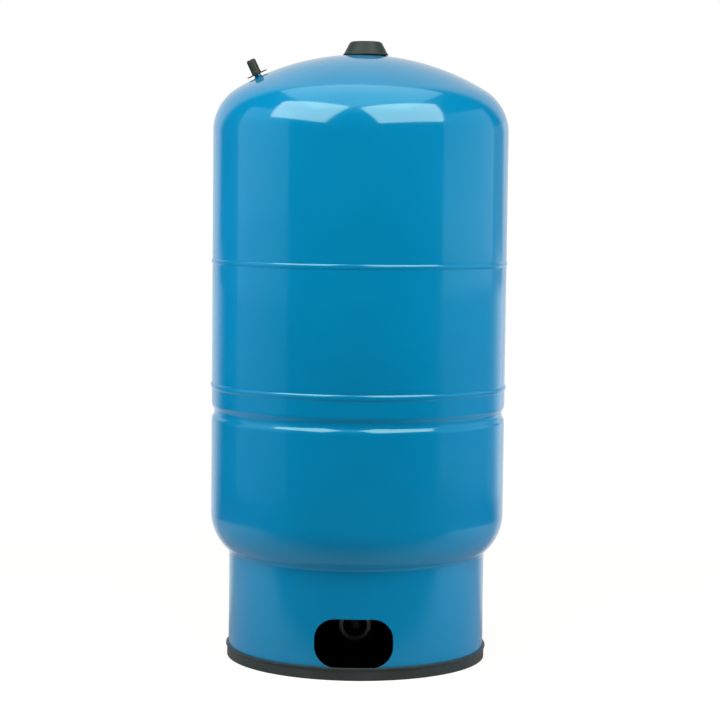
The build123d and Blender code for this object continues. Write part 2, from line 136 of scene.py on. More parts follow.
@dataclass(frozen=True)
class Axis:
    """Straight centreline.

    Args:
        origin: Where the distance along it is zero.
        direction: Unit vector along it.
    """

    origin: Triple = (0.0, 0.0, 0.0)
    direction: Triple = (0.0, 0.0, 1.0)

    def place(self, along: Points, out: Points, angle: Points) -> Points:
        """Origin + along × direction + out × (cos angle × side + sin angle × across).

        Args:
            along: Distance along the line.
            out: Distance out from it.
            angle: Angle round it.

        Returns:
            The points.
        """
        direction = np.array(self.direction)
        near_y = abs(direction[1]) > NEARLY_PARALLEL
        helper = np.array((0.0, 0.0, 1.0) if near_y else (0.0, 1.0, 0.0))
        side = np.cross(helper, direction)
        side /= np.linalg.norm(side)
        across = np.cross(direction, side)
        spoke = np.cos(angle)[..., None] * side + np.sin(angle)[..., None] * across
        return np.array(self.origin) + along[..., None] * direction + out[..., None] * spoke


@dataclass(frozen=True)
class QuarterBend:
    """Centreline that comes down the z axis and turns through a quarter circle to -y.

    Args:
        top: Height where the distance along it is zero.
        axis_height: Height of the level run.
        radius: Radius of the quarter circle.
    """

    top: float
    axis_height: float
    radius: float

    def place(self, along: Points, out: Points, angle: Points) -> Points:
        """Down, then round by (along - drop) / radius, then level, with spokes square to it.

        Args:
            along: Distance along the line.
            out: Distance out from it.
            angle: Angle round it.

        Returns:
            The points.
        """
        drop = self.top - self.axis_height - self.radius
        turn = np.clip((along - drop) / self.radius, 0.0, math.pi / 2)
        level = np.maximum(along - drop - self.radius * math.pi / 2, 0.0)
        y = -self.radius * (1 - np.cos(turn)) - level
        z = self.top - np.minimum(along, drop) - self.radius * np.sin(turn)
        back = np.cos(angle) * out
        sideways = np.sin(angle) * out
        return np.stack([sideways, y + back * np.cos(turn), z + back * np.sin(turn)], axis=-1)


def arc(centre: tuple[float, float], radius: float, start: float, end: float, steps: int) -> Points:
    """Arc in the (out, along) plane: centre + radius × (cos, sin) of evenly spaced angles.

    Args:
        centre: Centre of the arc.
        radius: Its radius.
        start: First angle, from the outward direction.
        end: Last angle.
        steps: How many spans it has.

    Returns:
        Its points, steps + 1 rows.
    """
    angle = np.linspace(start, end, steps + 1)
    return np.stack([centre[0] + radius * np.cos(angle), centre[1] + radius * np.sin(angle)], axis=1)


def rounded(corners: Sequence[Triple], closed: bool = True, steps: int = 4) -> Points:
    """Outline with each corner rounded.

    The arc at a corner touches both sides at radius / tan(half the corner's angle) from it.
    Its points swing from one touching point to the other about the arc's centre.

    Args:
        corners: Rows of out, along and the corner's radius.
        closed: Whether the last corner joins the first.
        steps: How many spans each arc has.

    Returns:
        The outline's points without doubles.
    """
    table = np.array(corners, float)
    here, radius = table[:, :2], table[:, 2]
    to_last = np.roll(here, 1, axis=0) - here
    to_next = np.roll(here, -1, axis=0) - here
    if not closed:
        to_last[0], to_next[-1] = to_next[0], to_last[-1]
    to_last /= np.linalg.norm(to_last, axis=1, keepdims=True)
    to_next /= np.linalg.norm(to_next, axis=1, keepdims=True)
    half = np.arccos(np.clip((to_last * to_next).sum(1), -1.0, 1.0)) / 2
    bends = (radius > 0) & (half > STRAIGHT) & (half < math.pi / 2 - STRAIGHT)
    safe = np.where(bends, half, math.pi / 4)
    reach = np.where(bends, radius / np.tan(safe), 0.0)[:, None]
    middle = to_last + to_next
    length = np.linalg.norm(middle, axis=1, keepdims=True)
    middle = np.where(bends[:, None], middle / np.where(length > 0, length, 1.0), 0.0)
    centre = here + middle * (radius / np.sin(safe))[:, None]
    first = here + to_last * reach - centre
    last = here + to_next * reach - centre
    swing = (math.pi - 2 * safe)[:, None]
    share = np.linspace(0.0, 1.0, steps + 1)[None, :]
    weight_first = (np.sin((1 - share) * swing) / np.sin(swing))[..., None]
    weight_last = (np.sin(share * swing) / np.sin(swing))[..., None]
    bent = centre[:, None] + weight_first * first[:, None] + weight_last * last[:, None]
    plain = np.repeat(here[:, None], steps + 1, axis=1)
    points = np.where(bends[:, None, None], bent, plain).reshape(-1, 2)
    apart = np.linalg.norm(points - np.roll(points, 1, axis=0), axis=1) > SAME_PLACE
    if not closed:
        apart[0] = True
    return points[apart]


def spaced(outline: Points, step: float, closed: bool = True) -> Points:
    """The outline with extra points, so that no span is longer than a step.

    Args:
        outline: Points in order.
        step: Longest span.
        closed: Whether the last point joins the first.

    Returns:
        The same outline, with long spans divided evenly.
    """
    ends = np.roll(outline, -1, axis=0) if closed else outline[1:]
    starts = outline if closed else outline[:-1]
    lengths = np.linalg.norm(ends - starts, axis=1)
    counts = np.maximum(np.ceil(lengths / step).astype(int), 1)
    span = np.repeat(np.arange(len(starts)), counts)
    first = np.repeat(np.cumsum(counts) - counts, counts)
    share = ((np.arange(counts.sum()) - first) / counts[span])[:, None]
    divided = starts[span] * (1 - share) + ends[span] * share
    return divided if closed else np.concatenate([divided, outline[-1:]])


def grid_faces(index: Faces, wrap_rows: bool, wrap_columns: bool) -> Faces:
    """Four-cornered faces between neighbouring rows and columns of vertex numbers.

    Args:
        index: Vertex numbers on a grid.
        wrap_rows: Whether the last row joins the first.
        wrap_columns: Whether the last column joins the first.

    Returns:
        Rows of four vertex numbers, where some may repeat at a pole.
    """
    if wrap_rows:
        index = np.concatenate([index, index[:1]])
    if wrap_columns:
        index = np.concatenate([index, index[:, :1]], axis=1)
    corners = [index[:-1, :-1], index[:-1, 1:], index[1:, 1:], index[1:, :-1]]
    return np.stack(corners, axis=-1).reshape(-1, 4)


def welded(points: Points, faces: Faces) -> tuple[Points, list[Faces]]:
    """Merges points that lie together, and turns faces that lose a corner into triangles.

    Args:
        points: Vertices, some of them doubled at seams and poles.
        faces: Rows of four vertex numbers.

    Returns:
        The kept vertices, and the four-cornered and three-cornered faces.
    """
    cells = np.round(points / SAME_PLACE).astype(np.int64)
    _, kept, renumber = np.unique(cells, axis=0, return_index=True, return_inverse=True)
    faces = renumber.reshape(-1)[faces]
    same = faces == np.roll(faces, -1, axis=1)
    lost = same.sum(axis=1)
    quads = faces[lost == 0]
    bent = faces[lost == 1]
    triangles = bent[~same[lost == 1]].reshape(-1, 3)
    return points[kept], [group for group in (quads, triangles) if len(group)]


def enclosed_volume(points: Points, groups: Sequence[Faces]) -> float:
    """Sum over the faces' fans of a · (b × c) / 6, which is above zero if faces point out.

    Args:
        points: Vertices.
        groups: Faces with the same number of corners, in one array each.

    Returns:
        The volume.
    """
    total = 0.0
    for faces in groups:
        for second in range(1, faces.shape[1] - 1):
            a, b, c = points[faces[:, 0]], points[faces[:, second]], points[faces[:, second + 1]]
            total += float((a * np.cross(b, c)).sum()) / 6
    return total


def make_piece(name: str, points: Points, faces: Faces, sharp_degrees: float = 40.0) -> bpy.types.Object:
    """A closed, outward-facing, smooth mesh object at the origin.

    Args:
        name: The piece's name.
        points: Vertices, which may be doubled where grids meet.
        faces: Rows of four vertex numbers.
        sharp_degrees: Edges that bend more than this stay sharp.

    Returns:
        The linked object.
    """
    points, groups = welded(points, faces)
    if enclosed_volume(points, groups) < 0:
        groups = [group[:, ::-1] for group in groups]
    corners = np.concatenate([group.ravel() for group in groups]).astype(np.int32)
    sizes = np.concatenate([np.full(len(group), group.shape[1]) for group in groups])
    starts = np.concatenate([[0], np.cumsum(sizes)[:-1]]).astype(np.int32)
    mesh = bpy.data.meshes.new(name)
    mesh.vertices.add(len(points))
    mesh.vertices.foreach_set("co", points.astype(np.float32).ravel())
    mesh.loops.add(len(corners))
    mesh.loops.foreach_set("vertex_index", corners)
    mesh.polygons.add(len(sizes))
    mesh.polygons.foreach_set("loop_start", starts)
    mesh.update(calc_edges=True)
    mesh.validate()
    mesh.shade_smooth()
    mesh.set_sharp_from_angle(angle=math.radians(sharp_degrees))
    piece = bpy.data.objects.new(name, mesh)
    bpy.context.scene.collection.objects.link(piece)
    return piece


def turned_piece(
    name: str,
    outline: Points,
    line: Centreline = Axis(),
    segments: int = 128,
    poles: bool = False,
    relief: Relief | None = None,
    sharp_degrees: float = 40.0,
) -> bpy.types.Object:
    """Turns an outline about a centreline: point = line at (along, out + relief, angle).

    Args:
        name: The piece's name.
        outline: Rows of out and along.
        line: What it is turned about.
        segments: How many steps a full turn has.
        poles: Whether the outline starts and ends on the line, so that it isn't closed.
        relief: Adds to out, from out, along and angle.
        sharp_degrees: Edges that bend more than this stay sharp.

    Returns:
        The linked object.
    """
    angle = np.linspace(0.0, FULL_TURN, segments, endpoint=False)[None, :]
    angle = np.repeat(angle, len(outline), axis=0)
    out = np.repeat(outline[:, :1], segments, axis=1)
    along = np.repeat(outline[:, 1:], segments, axis=1)
    if relief is not None:
        out = out + relief(out, along, angle)
    points = line.place(along, out, angle)
    index = np.arange(out.size).reshape(out.shape)
    faces = grid_faces(index, wrap_rows=not poles, wrap_columns=True)
    return make_piece(name, points.reshape(-1, 3), faces, sharp_degrees)


def window(values: Points, low: float, high: float, blend: float) -> Points:
    """1 between low and high, fading to 0 over a blend inside each end, as 3t² - 2t³.

    Args:
        values: What is weighed.
        low: Where it starts.
        high: Where it ends.
        blend: How far the fade goes.

    Returns:
        A weight for each value.
    """
    rise = np.clip((values - low) / blend, 0.0, 1.0)
    fall = np.clip((high - values) / blend, 0.0, 1.0)
    share = np.minimum(rise, fall)
    return share * share * (3 - 2 * share)


class NodeBoard:
    """A node tree, with short calls that add and join nodes."""

    def __init__(self, tree: bpy.types.NodeTree) -> None:
        """Takes the tree that it adds to."""
        self.tree = tree

    def add(self, kind: str, **settings: object) -> bpy.types.Node:
        """Adds a node and sets its own properties.

        Args:
            kind: The node's type.
            settings: Its properties by name.

        Returns:
            The node.
        """
        node = self.tree.nodes.new(kind)
        for name, value in settings.items():
            setattr(node, name, value)
        return node

    def join(self, source: Socket, target: Socket) -> None:
        """Links two sockets."""
        self.tree.links.new(source, target)

    def worked(self, how: str, first: Socket | float, second: Socket | float) -> Socket:
        """Two values put together by a Math node.

        Args:
            how: The node's operation.
            first: A socket or a plain number.
            second: A socket or a plain number.

        Returns:
            The result.
        """
        node = self.add("ShaderNodeMath", operation=how)
        for value, target in zip((first, second), node.inputs):
            if isinstance(value, float):
                target.default_value = value
            else:
                self.join(value, target)
        return node.outputs[0]

    def along(self, vector: Socket, direction: Triple) -> Socket:
        """The vector's parts times the direction's, summed.

        Args:
            vector: What is measured.
            direction: What it is measured along.

        Returns:
            The sum.
        """
        node = self.add("ShaderNodeVectorMath", operation="DOT_PRODUCT")
        node.inputs[1].default_value = direction
        self.join(vector, node.inputs[0])
        return node.outputs["Value"]

    def ramp(self, value: Socket, start: float, end: float) -> Socket:
        """0 at start and 1 at end, as 3t² - 2t³ between them, where end may be the lower.

        Args:
            value: What is weighed.
            start: Where the weight is 0.
            end: Where it is 1.

        Returns:
            The weight.
        """
        node = self.add("ShaderNodeMapRange", interpolation_type="SMOOTHSTEP")
        node.inputs["From Min"].default_value = start
        node.inputs["From Max"].default_value = end
        self.join(value, node.inputs["Value"])
        return node.outputs["Result"]

    def shaded(self, share: Socket, first: Socket | Colour, second: Socket | Colour) -> Socket:
        """Colour between two, by a share from 0 to 1.

        Args:
            share: The second colour's share.
            first: A socket or a plain colour.
            second: A socket or a plain colour.

        Returns:
            The colour.
        """
        node = self.add("ShaderNodeMix", data_type="RGBA")
        self.join(share, node.inputs[0])
        for colour, target in ((first, node.inputs[6]), (second, node.inputs[7])):
            if isinstance(colour, tuple):
                target.default_value = (*colour, 1.0)
            else:
                self.join(colour, target)
        return node.outputs[2]

    def diffuse(self, colour: Socket) -> Socket:
        """Shader of a dull surface.

        Args:
            colour: Its colour.

        Returns:
            The shader.
        """
        node = self.add("ShaderNodeBsdfDiffuse")
        self.join(colour, node.inputs["Color"])
        return node.outputs[0]

    def summed(self, first: Socket, second: Socket) -> Socket:
        """Two shaders on top of each other.

        Args:
            first: A shader.
            second: Another.

        Returns:
            Both together.
        """
        node = self.add("ShaderNodeAddShader")
        for source, target in zip((first, second), node.inputs):
            self.join(source, target)
        return node.outputs[0]

    def mixed(self, share: Socket, first: Socket, second: Socket) -> Socket:
        """Shader between two, by a share from 0 to 1.

        Args:
            share: The second shader's share.
            first: A shader.
            second: Another.

        Returns:
            The shader.
        """
        node = self.add("ShaderNodeMixShader")
        for source, target in zip((share, first, second), node.inputs):
            self.join(source, target)
        return node.outputs[0]

    def in_picture(self, rays: bpy.types.NodeOutputs) -> Socket:
        """1 where the camera looks, straight or through something clear, and 0 to all else.

        Args:
            rays: A Light Path node's outputs.

        Returns:
            1 or 0.
        """
        return self.worked("MAXIMUM", rays["Is Camera Ray"], rays["Is Transmission Ray"])


class NodeSheet(NodeBoard):
    """A new material's node tree round its main shader."""

    def __init__(self, name: str) -> None:
        """Starts a material that holds only its output and its main shader.

        Args:
            name: The material's name.
        """
        self.material = bpy.data.materials.new(name)
        self.material.use_nodes = True
        super().__init__(self.material.node_tree)
        self.shader = self.tree.nodes["Principled BSDF"]
        self.place = self.add("ShaderNodeTexCoord").outputs["Object"]

    def set(self, **values: object) -> None:
        """Sets plain values on the main shader, with underscores for spaces."""
        for name, value in values.items():
            self.shader.inputs[name.replace("_", " ")].default_value = value

    def stretched(self, scale: Triple) -> Socket:
        """Object coordinates, stretched along each axis.

        Args:
            scale: What each coordinate is multiplied with.

        Returns:
            The coordinates.
        """
        mapping = self.add("ShaderNodeMapping")
        mapping.inputs["Scale"].default_value = scale
        self.join(self.place, mapping.inputs["Vector"])
        return mapping.outputs["Vector"]

    def noise(self, scale: float, detail: float = 3.0, vector: Socket | None = None) -> Socket:
        """Noise from 0 to 1 that varies over 1 / scale metres.

        Args:
            scale: How many swells a metre holds.
            detail: How many finer layers it has.
            vector: Coordinates to use in place of the plain ones.

        Returns:
            The noise.
        """
        node = self.add("ShaderNodeTexNoise")
        node.inputs["Scale"].default_value = scale
        node.inputs["Detail"].default_value = detail
        self.join(vector or self.place, node.inputs["Vector"])
        return node.outputs["Fac"]

    def ranged(
        self, value: Socket, low: float, high: float, start: float = 0.3, end: float = 0.7
    ) -> Socket:
        """The value from start to end, spread to run from low to high.

        Args:
            value: What is spread.
            low: Result at start.
            high: Result at end.
            start: Value that gives low.
            end: Value that gives high.

        Returns:
            The spread value.
        """
        node = self.add("ShaderNodeMapRange")
        limits = {"From Min": start, "From Max": end, "To Min": low, "To Max": high}
        for name, limit in limits.items():
            node.inputs[name].default_value = limit
        self.join(value, node.inputs["Value"])
        return node.outputs["Result"]

    def bumped(self, height: Socket, depth: float, below: Socket | None = None) -> Socket:
        """Normal of a surface raised by height × depth metres, over another bump if given.

        Args:
            height: Pattern from 0 to 1.
            depth: Height of a full swell.
            below: Normal of the bump under it.

        Returns:
            The normal.
        """
        node = self.add("ShaderNodeBump")
        node.inputs["Strength"].default_value = 1.0
        node.inputs["Distance"].default_value = depth
        self.join(height, node.inputs["Height"])
        if below is not None:
            self.join(below, node.inputs["Normal"])
        return node.outputs["Normal"]

    def dress(self, colour: Socket, roughness: Socket, normal: Socket) -> bpy.types.Material:
        """Joins what varies to the main shader and returns the material.

        Args:
            colour: Base colour.
            roughness: Roughness.
            normal: Normal.

        Returns:
            The material.
        """
        self.join(colour, self.shader.inputs["Base Color"])
        self.join(roughness, self.shader.inputs["Roughness"])
        self.join(normal, self.shader.inputs["Normal"])
        return self.material


class Finish(Protocol):
    """A surface finish that can make its material."""

    def material(self) -> bpy.types.Material:
        """Builds the material."""


@dataclass(frozen=True)
class GlossPaint:
    """Sprayed and baked gloss enamel, with faint orange peel and cloudiness.

    Args:
        name: The material's name.
        colour: The enamel's colour.
        roughness: How much the gloss blurs what it mirrors.
        tint: Colour of its mirror at a square look.
        cloudiness: How far its colour goes down and up, as shares of it.
        clouds: Colour clouds in a metre.
        gloss_clouds: Gloss clouds in a metre.
        peel_size: Width of an orange peel cell.
        peel_depth: Height of an orange peel cell.
        dust: Specks of dust in a metre.
        dust_depth: Height of a speck.
    """

    name: str = "blue_gloss_enamel"
    colour: Colour = (0.0004, 0.112, 0.25)
    roughness: float = 0.1
    tint: tuple[float, float, float, float] = (0.5, 0.95, 0.95, 1.0)
    cloudiness: tuple[float, float] = (0.955, 1.035)
    clouds: float = 7.0
    gloss_clouds: float = 25.0
    peel_size: float = 3.5 * MM
    peel_depth: float = 0.0025 * MM
    dust: float = 2200.0
    dust_depth: float = 0.0006 * MM

    def material(self) -> bpy.types.Material:
        """Enamel: colour clouds over 15 cm, gloss clouds over 4 cm, peel and fine dust.

        Returns:
            The material.
        """
        sheet = NodeSheet(self.name)
        sheet.set(IOR=1.5, Specular_Tint=self.tint)
        clouds = sheet.ranged(sheet.noise(self.clouds), 0.0, 1.0)
        deep, pale = (tuple(share * part for part in self.colour) for share in self.cloudiness)
        colour = sheet.shaded(clouds, deep, pale)
        low, high = (share * self.roughness for share in ROUGHNESS_SPREAD)
        gloss = sheet.ranged(sheet.noise(self.gloss_clouds), low, high)
        peel = sheet.bumped(sheet.noise(1 / self.peel_size, 1.0), self.peel_depth)
        dust = sheet.bumped(sheet.noise(self.dust, 2.0), self.dust_depth, peel)
        return sheet.dress(colour, gloss, dust)


@dataclass(frozen=True)
class MouldedPlastic:
    """Injection-moulded plastic with a fine spark-eroded grain.

    Args:
        name: The material's name.
        colour: The plastic's colour.
        faded: The colour where it is a little bleached or scuffed.
        roughness: Its roughness.
        shine: Strength of its mirror, where 0.5 is a plain one.
        grain_size: Width of a grain.
        grain_depth: Height of a grain.
        patches: Faded patches in a metre.
        scuffs: Scuffs in a metre.
        scuff_shape: How the scuffs are stretched along each axis.
    """

    name: str
    colour: Colour
    faded: Colour
    roughness: float
    shine: float = 0.5
    grain_size: float = 0.35 * MM
    grain_depth: float = 0.012 * MM
    patches: float = 45.0
    scuffs: float = 160.0
    scuff_shape: Triple = (1.0, 1.0, 3.5)

    def material(self) -> bpy.types.Material:
        """Plastic: slow fading, roughness from scuffs, and two sizes of grain.

        Returns:
            The material.
        """
        sheet = NodeSheet(self.name)
        sheet.set(IOR=1.5, Specular_IOR_Level=self.shine)
        fading = sheet.ranged(sheet.noise(self.patches, 4.0), 0.0, 1.0)
        colour = sheet.shaded(fading, self.colour, self.faded)
        scuffs = sheet.noise(self.scuffs, 5.0, sheet.stretched(self.scuff_shape))
        low, high = (share * self.roughness for share in ROUGHNESS_SPREAD)
        gloss = sheet.ranged(scuffs, low, high)
        coarse = sheet.bumped(sheet.noise(0.4 / self.grain_size, 2.0), 0.6 * self.grain_depth)
        grain = sheet.bumped(sheet.noise(1 / self.grain_size, 3.0), self.grain_depth, coarse)
        return sheet.dress(colour, gloss, grain)


@dataclass(frozen=True)
class Rubber:
    """Moulded black rubber with a dull bloom.

    Args:
        name: The material's name.
        colour: The rubber's colour.
        bloom: Colour of the bloom on it.
        roughness: Its least and its most roughness.
        patches: Patches of bloom in a metre.
        grain: Grains in a metre.
        grain_depth: Height of a grain.
    """

    name: str
    colour: Colour = (0.012, 0.012, 0.013)
    bloom: Colour = (0.035, 0.035, 0.034)
    roughness: tuple[float, float] = (0.62, 0.82)
    patches: float = 60.0
    grain: float = 1400.0
    grain_depth: float = 0.01 * MM

    def material(self) -> bpy.types.Material:
        """Rubber: patches of bloom, high roughness and a soft grain.

        Returns:
            The material.
        """
        sheet = NodeSheet(self.name)
        sheet.set(IOR=1.45)
        patches = sheet.ranged(sheet.noise(self.patches, 5.0), 0.0, 1.0, 0.45, 0.8)
        colour = sheet.shaded(patches, self.colour, self.bloom)
        gloss = sheet.ranged(sheet.noise(1.5 * self.patches), *self.roughness)
        grain = sheet.bumped(sheet.noise(self.grain, 2.0), self.grain_depth)
        return sheet.dress(colour, gloss, grain)


@dataclass(frozen=True)
class Metal:
    """Bare metal with a lay from how it was made.

    Args:
        name: The material's name.
        colour: Its mirror's colour.
        tarnish: The colour of its duller patches.
        roughness: Its roughness.
        lay: How the grain is stretched along each axis.
        lay_size: Width of a grain.
        lay_depth: Height of a grain.
    """

    name: str
    colour: Colour
    tarnish: Colour
    roughness: float
    lay: Triple = (1.0, 1.0, 1.0)
    lay_size: float = 0.5 * MM
    lay_depth: float = 0.01 * MM

    def material(self) -> bpy.types.Material:
        """Metal: tarnish in patches, and a grain in the direction of its making.

        Returns:
            The material.
        """
        sheet = NodeSheet(self.name)
        sheet.set(Metallic=1.0)
        patches = sheet.ranged(sheet.noise(55.0, 5.0), 0.0, 1.0, 0.4, 0.75)
        colour = sheet.shaded(patches, self.colour, self.tarnish)
        gloss = sheet.ranged(sheet.noise(120.0, 4.0), 0.8 * self.roughness, 1.25 * self.roughness)
        lay = sheet.noise(1 / self.lay_size, 3.0, sheet.stretched(self.lay))
        return sheet.dress(colour, gloss, sheet.bumped(lay, self.lay_depth))


ENAMEL = GlossPaint()
RING_PLASTIC = MouldedPlastic(
    name="ring_black_plastic",
    colour=(0.009, 0.017, 0.021),
    faded=(0.013, 0.025, 0.03),
    roughness=0.45,
    shine=0.3,
)
COVER_PLASTIC = MouldedPlastic(
    name="cover_black_plastic",
    colour=(0.008, 0.015, 0.015),
    faded=(0.012, 0.023, 0.023),
    roughness=0.42,
    shine=0.15,
)
CAP_PLASTIC = MouldedPlastic(
    name="cap_black_plastic",
    colour=(0.006, 0.012, 0.011),
    faded=(0.009, 0.02, 0.018),
    roughness=0.46,
    shine=0.2,
    grain_size=0.2 * MM,
)
LINER_PLASTIC = MouldedPlastic("liner_pale_plastic", (0.66, 0.69, 0.67), (0.6, 0.62, 0.58), 0.45)
SEAL_RUBBER = Rubber("seal_black_rubber")
DIAPHRAGM_RUBBER = Rubber("diaphragm_black_rubber", (0.014, 0.014, 0.014))
# Mirror colour darkened below bare stainless, as painted shade of the dim space inside the stand.
STAINLESS = Metal("cast_stainless_with_painted_shade", (0.2, 0.2, 0.21), (0.14, 0.14, 0.15), 0.3)
MILD_STEEL = Metal(
    name="rolled_mild_steel",
    colour=(0.36, 0.36, 0.37),
    tarnish=(0.24, 0.23, 0.23),
    roughness=0.42,
    lay=(1.0, 1.0, 8.0),
)
VALVE_METAL = Metal(
    name="nickel_plated_stem",
    colour=(0.52, 0.5, 0.46),
    tarnish=(0.38, 0.35, 0.3),
    roughness=0.3,
    lay=(1.0, 1.0, 4.0),
    lay_size=0.15 * MM,
)
BRASS = Metal(
    name="turned_brass",
    colour=(0.68, 0.47, 0.19),
    tarnish=(0.45, 0.3, 0.13),
    roughness=0.28,
    lay=(1.0, 1.0, 6.0),
    lay_size=0.12 * MM,
)


@functools.cache
def made(finish: Finish) -> bpy.types.Material:
    """The finish's material, built once."""
    return finish.material()


def settle(piece: bpy.types.Object, finish: Finish, slot: Slot, body: Body, *nodes: str) -> bpy.types.Object:
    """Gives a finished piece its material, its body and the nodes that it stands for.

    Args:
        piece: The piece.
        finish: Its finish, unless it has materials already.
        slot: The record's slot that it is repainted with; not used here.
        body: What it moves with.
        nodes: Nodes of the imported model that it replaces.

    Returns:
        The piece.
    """
    if not piece.data.materials:
        piece.data.materials.append(made(finish))
    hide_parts(*nodes)
    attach(piece, body.value)
    count = len(piece.data.polygons)
    LOG.info("%s: %d faces, rides on %s, stands for %s", piece.name, count, body.value, ", ".join(nodes))
    return piece


def dress_node(node: str, finish: Finish) -> None:
    """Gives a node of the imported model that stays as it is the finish's material.

    Args:
        node: Name of the node.
        finish: Its finish.
    """
    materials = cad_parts[node].data.materials
    if len(materials):
        materials[0] = made(finish)
    else:
        materials.append(made(finish))
    LOG.info("%s keeps its own mesh, in %s", node, made(finish).name)


@dataclass(frozen=True)
class TankForm:
    """Outer form of the pressure vessel, which everything else is set against.

    Args:
        radius: Radius of the straight wall.
        wall: Thickness of its sheet.
        lap: How far the band's ends reach into the heads.
        lower_seam: Height of the lower girth seam.
        upper_seam: Height of the upper girth seam.
        lower_tangent: Height where the bottom knuckle starts.
        upper_tangent: Height where the top knuckle starts.
        crown_radius: Radius of each head's crown.
        knuckle_radius: Radius of each head's knuckle.
    """

    radius: float
    lower_seam: float
    upper_seam: float
    lower_tangent: float
    upper_tangent: float
    wall: float = 1.6 * MM
    lap: float = 12.0 * MM
    crown_radius: float = 316.4 * MM
    knuckle_radius: float = 65.0 * MM

    @classmethod
    def from_frame(cls) -> "TankForm":
        """Reads the straight wall, the seams and the heads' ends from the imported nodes.

        Returns:
            The form.
        """
        band_low, band_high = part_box("middle_shell")
        head_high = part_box("upper_shell")[1]
        head_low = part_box("liner_seal")[1]
        radius = head_high.x
        inner = cls.crown_radius - cls.knuckle_radius
        set_back = math.sqrt(inner**2 - (radius - cls.knuckle_radius) ** 2)
        depth = cls.crown_radius - set_back
        neck_out, under_liner, fit = 15.4 * MM, 2.3 * MM, 0.1 * MM
        reach = cls.crown_radius - under_liner + fit
        lowest = head_low.z + fit - cls.crown_radius + math.sqrt(reach**2 - neck_out**2)
        return cls(
            radius=radius,
            lower_seam=band_low.z + cls.lap,
            upper_seam=band_high.z - cls.lap,
            lower_tangent=lowest + depth,
            upper_tangent=head_high.z - depth,
        )

    @property
    def set_back(self) -> float:
        """How far a crown's centre lies from its head's tangent line."""
        inner = self.crown_radius - self.knuckle_radius
        return math.sqrt(inner**2 - (self.radius - self.knuckle_radius) ** 2)

    @property
    def top_crown_centre(self) -> float:
        """Height of the top crown's centre."""
        return self.upper_tangent - self.set_back

    @property
    def bottom_crown_centre(self) -> float:
        """Height of the bottom crown's centre."""
        return self.lower_tangent + self.set_back

    def crown_height(self, out: float) -> float:
        """Height of the dome's face at a distance from the axis."""
        return self.top_crown_centre + math.sqrt(self.crown_radius**2 - out**2)

    def bottom_height(self, out: float, inset: float = 0.0) -> float:
        """Height of the bottom head's face at a distance from the axis, on its crown or knuckle.

        Args:
            out: Distance from the axis.
            inset: How far in from the outer face.

        Returns:
            The height.
        """
        crown_end = (self.crown_radius - inset) * (self.radius - self.knuckle_radius)
        if out <= crown_end / (self.crown_radius - self.knuckle_radius):
            return self.bottom_crown_centre - math.sqrt((self.crown_radius - inset) ** 2 - out**2)
        beside = out - (self.radius - self.knuckle_radius)
        return self.lower_tangent - math.sqrt((self.knuckle_radius - inset) ** 2 - beside**2)

    def head(self, side: Side, inset: float, hole: float = 0.0) -> Points:
        """Outline of a head, from its tangent line in to a hole or the axis.

        A knuckle arc and a crown arc meet where both centres are in line with the joint.

        Args:
            side: Which head.
            inset: How far in from the outer face.
            hole: Radius at which the crown stops.

        Returns:
            Rows of out and along.
        """
        sign = side.value
        blend = sign * math.atan2(self.set_back, self.radius - self.knuckle_radius)
        tangent = self.upper_tangent if side is Side.TOP else self.lower_tangent
        centre = self.top_crown_centre if side is Side.TOP else self.bottom_crown_centre
        end = sign * math.acos(hole / (self.crown_radius - inset))
        knuckle_centre = (self.radius - self.knuckle_radius, tangent)
        knuckle = arc(knuckle_centre, self.knuckle_radius - inset, 0.0, blend, KNUCKLE_STEPS)
        crown = arc((0.0, centre), self.crown_radius - inset, blend, end, CROWN_STEPS)
        return np.concatenate([knuckle, crown[1:]])


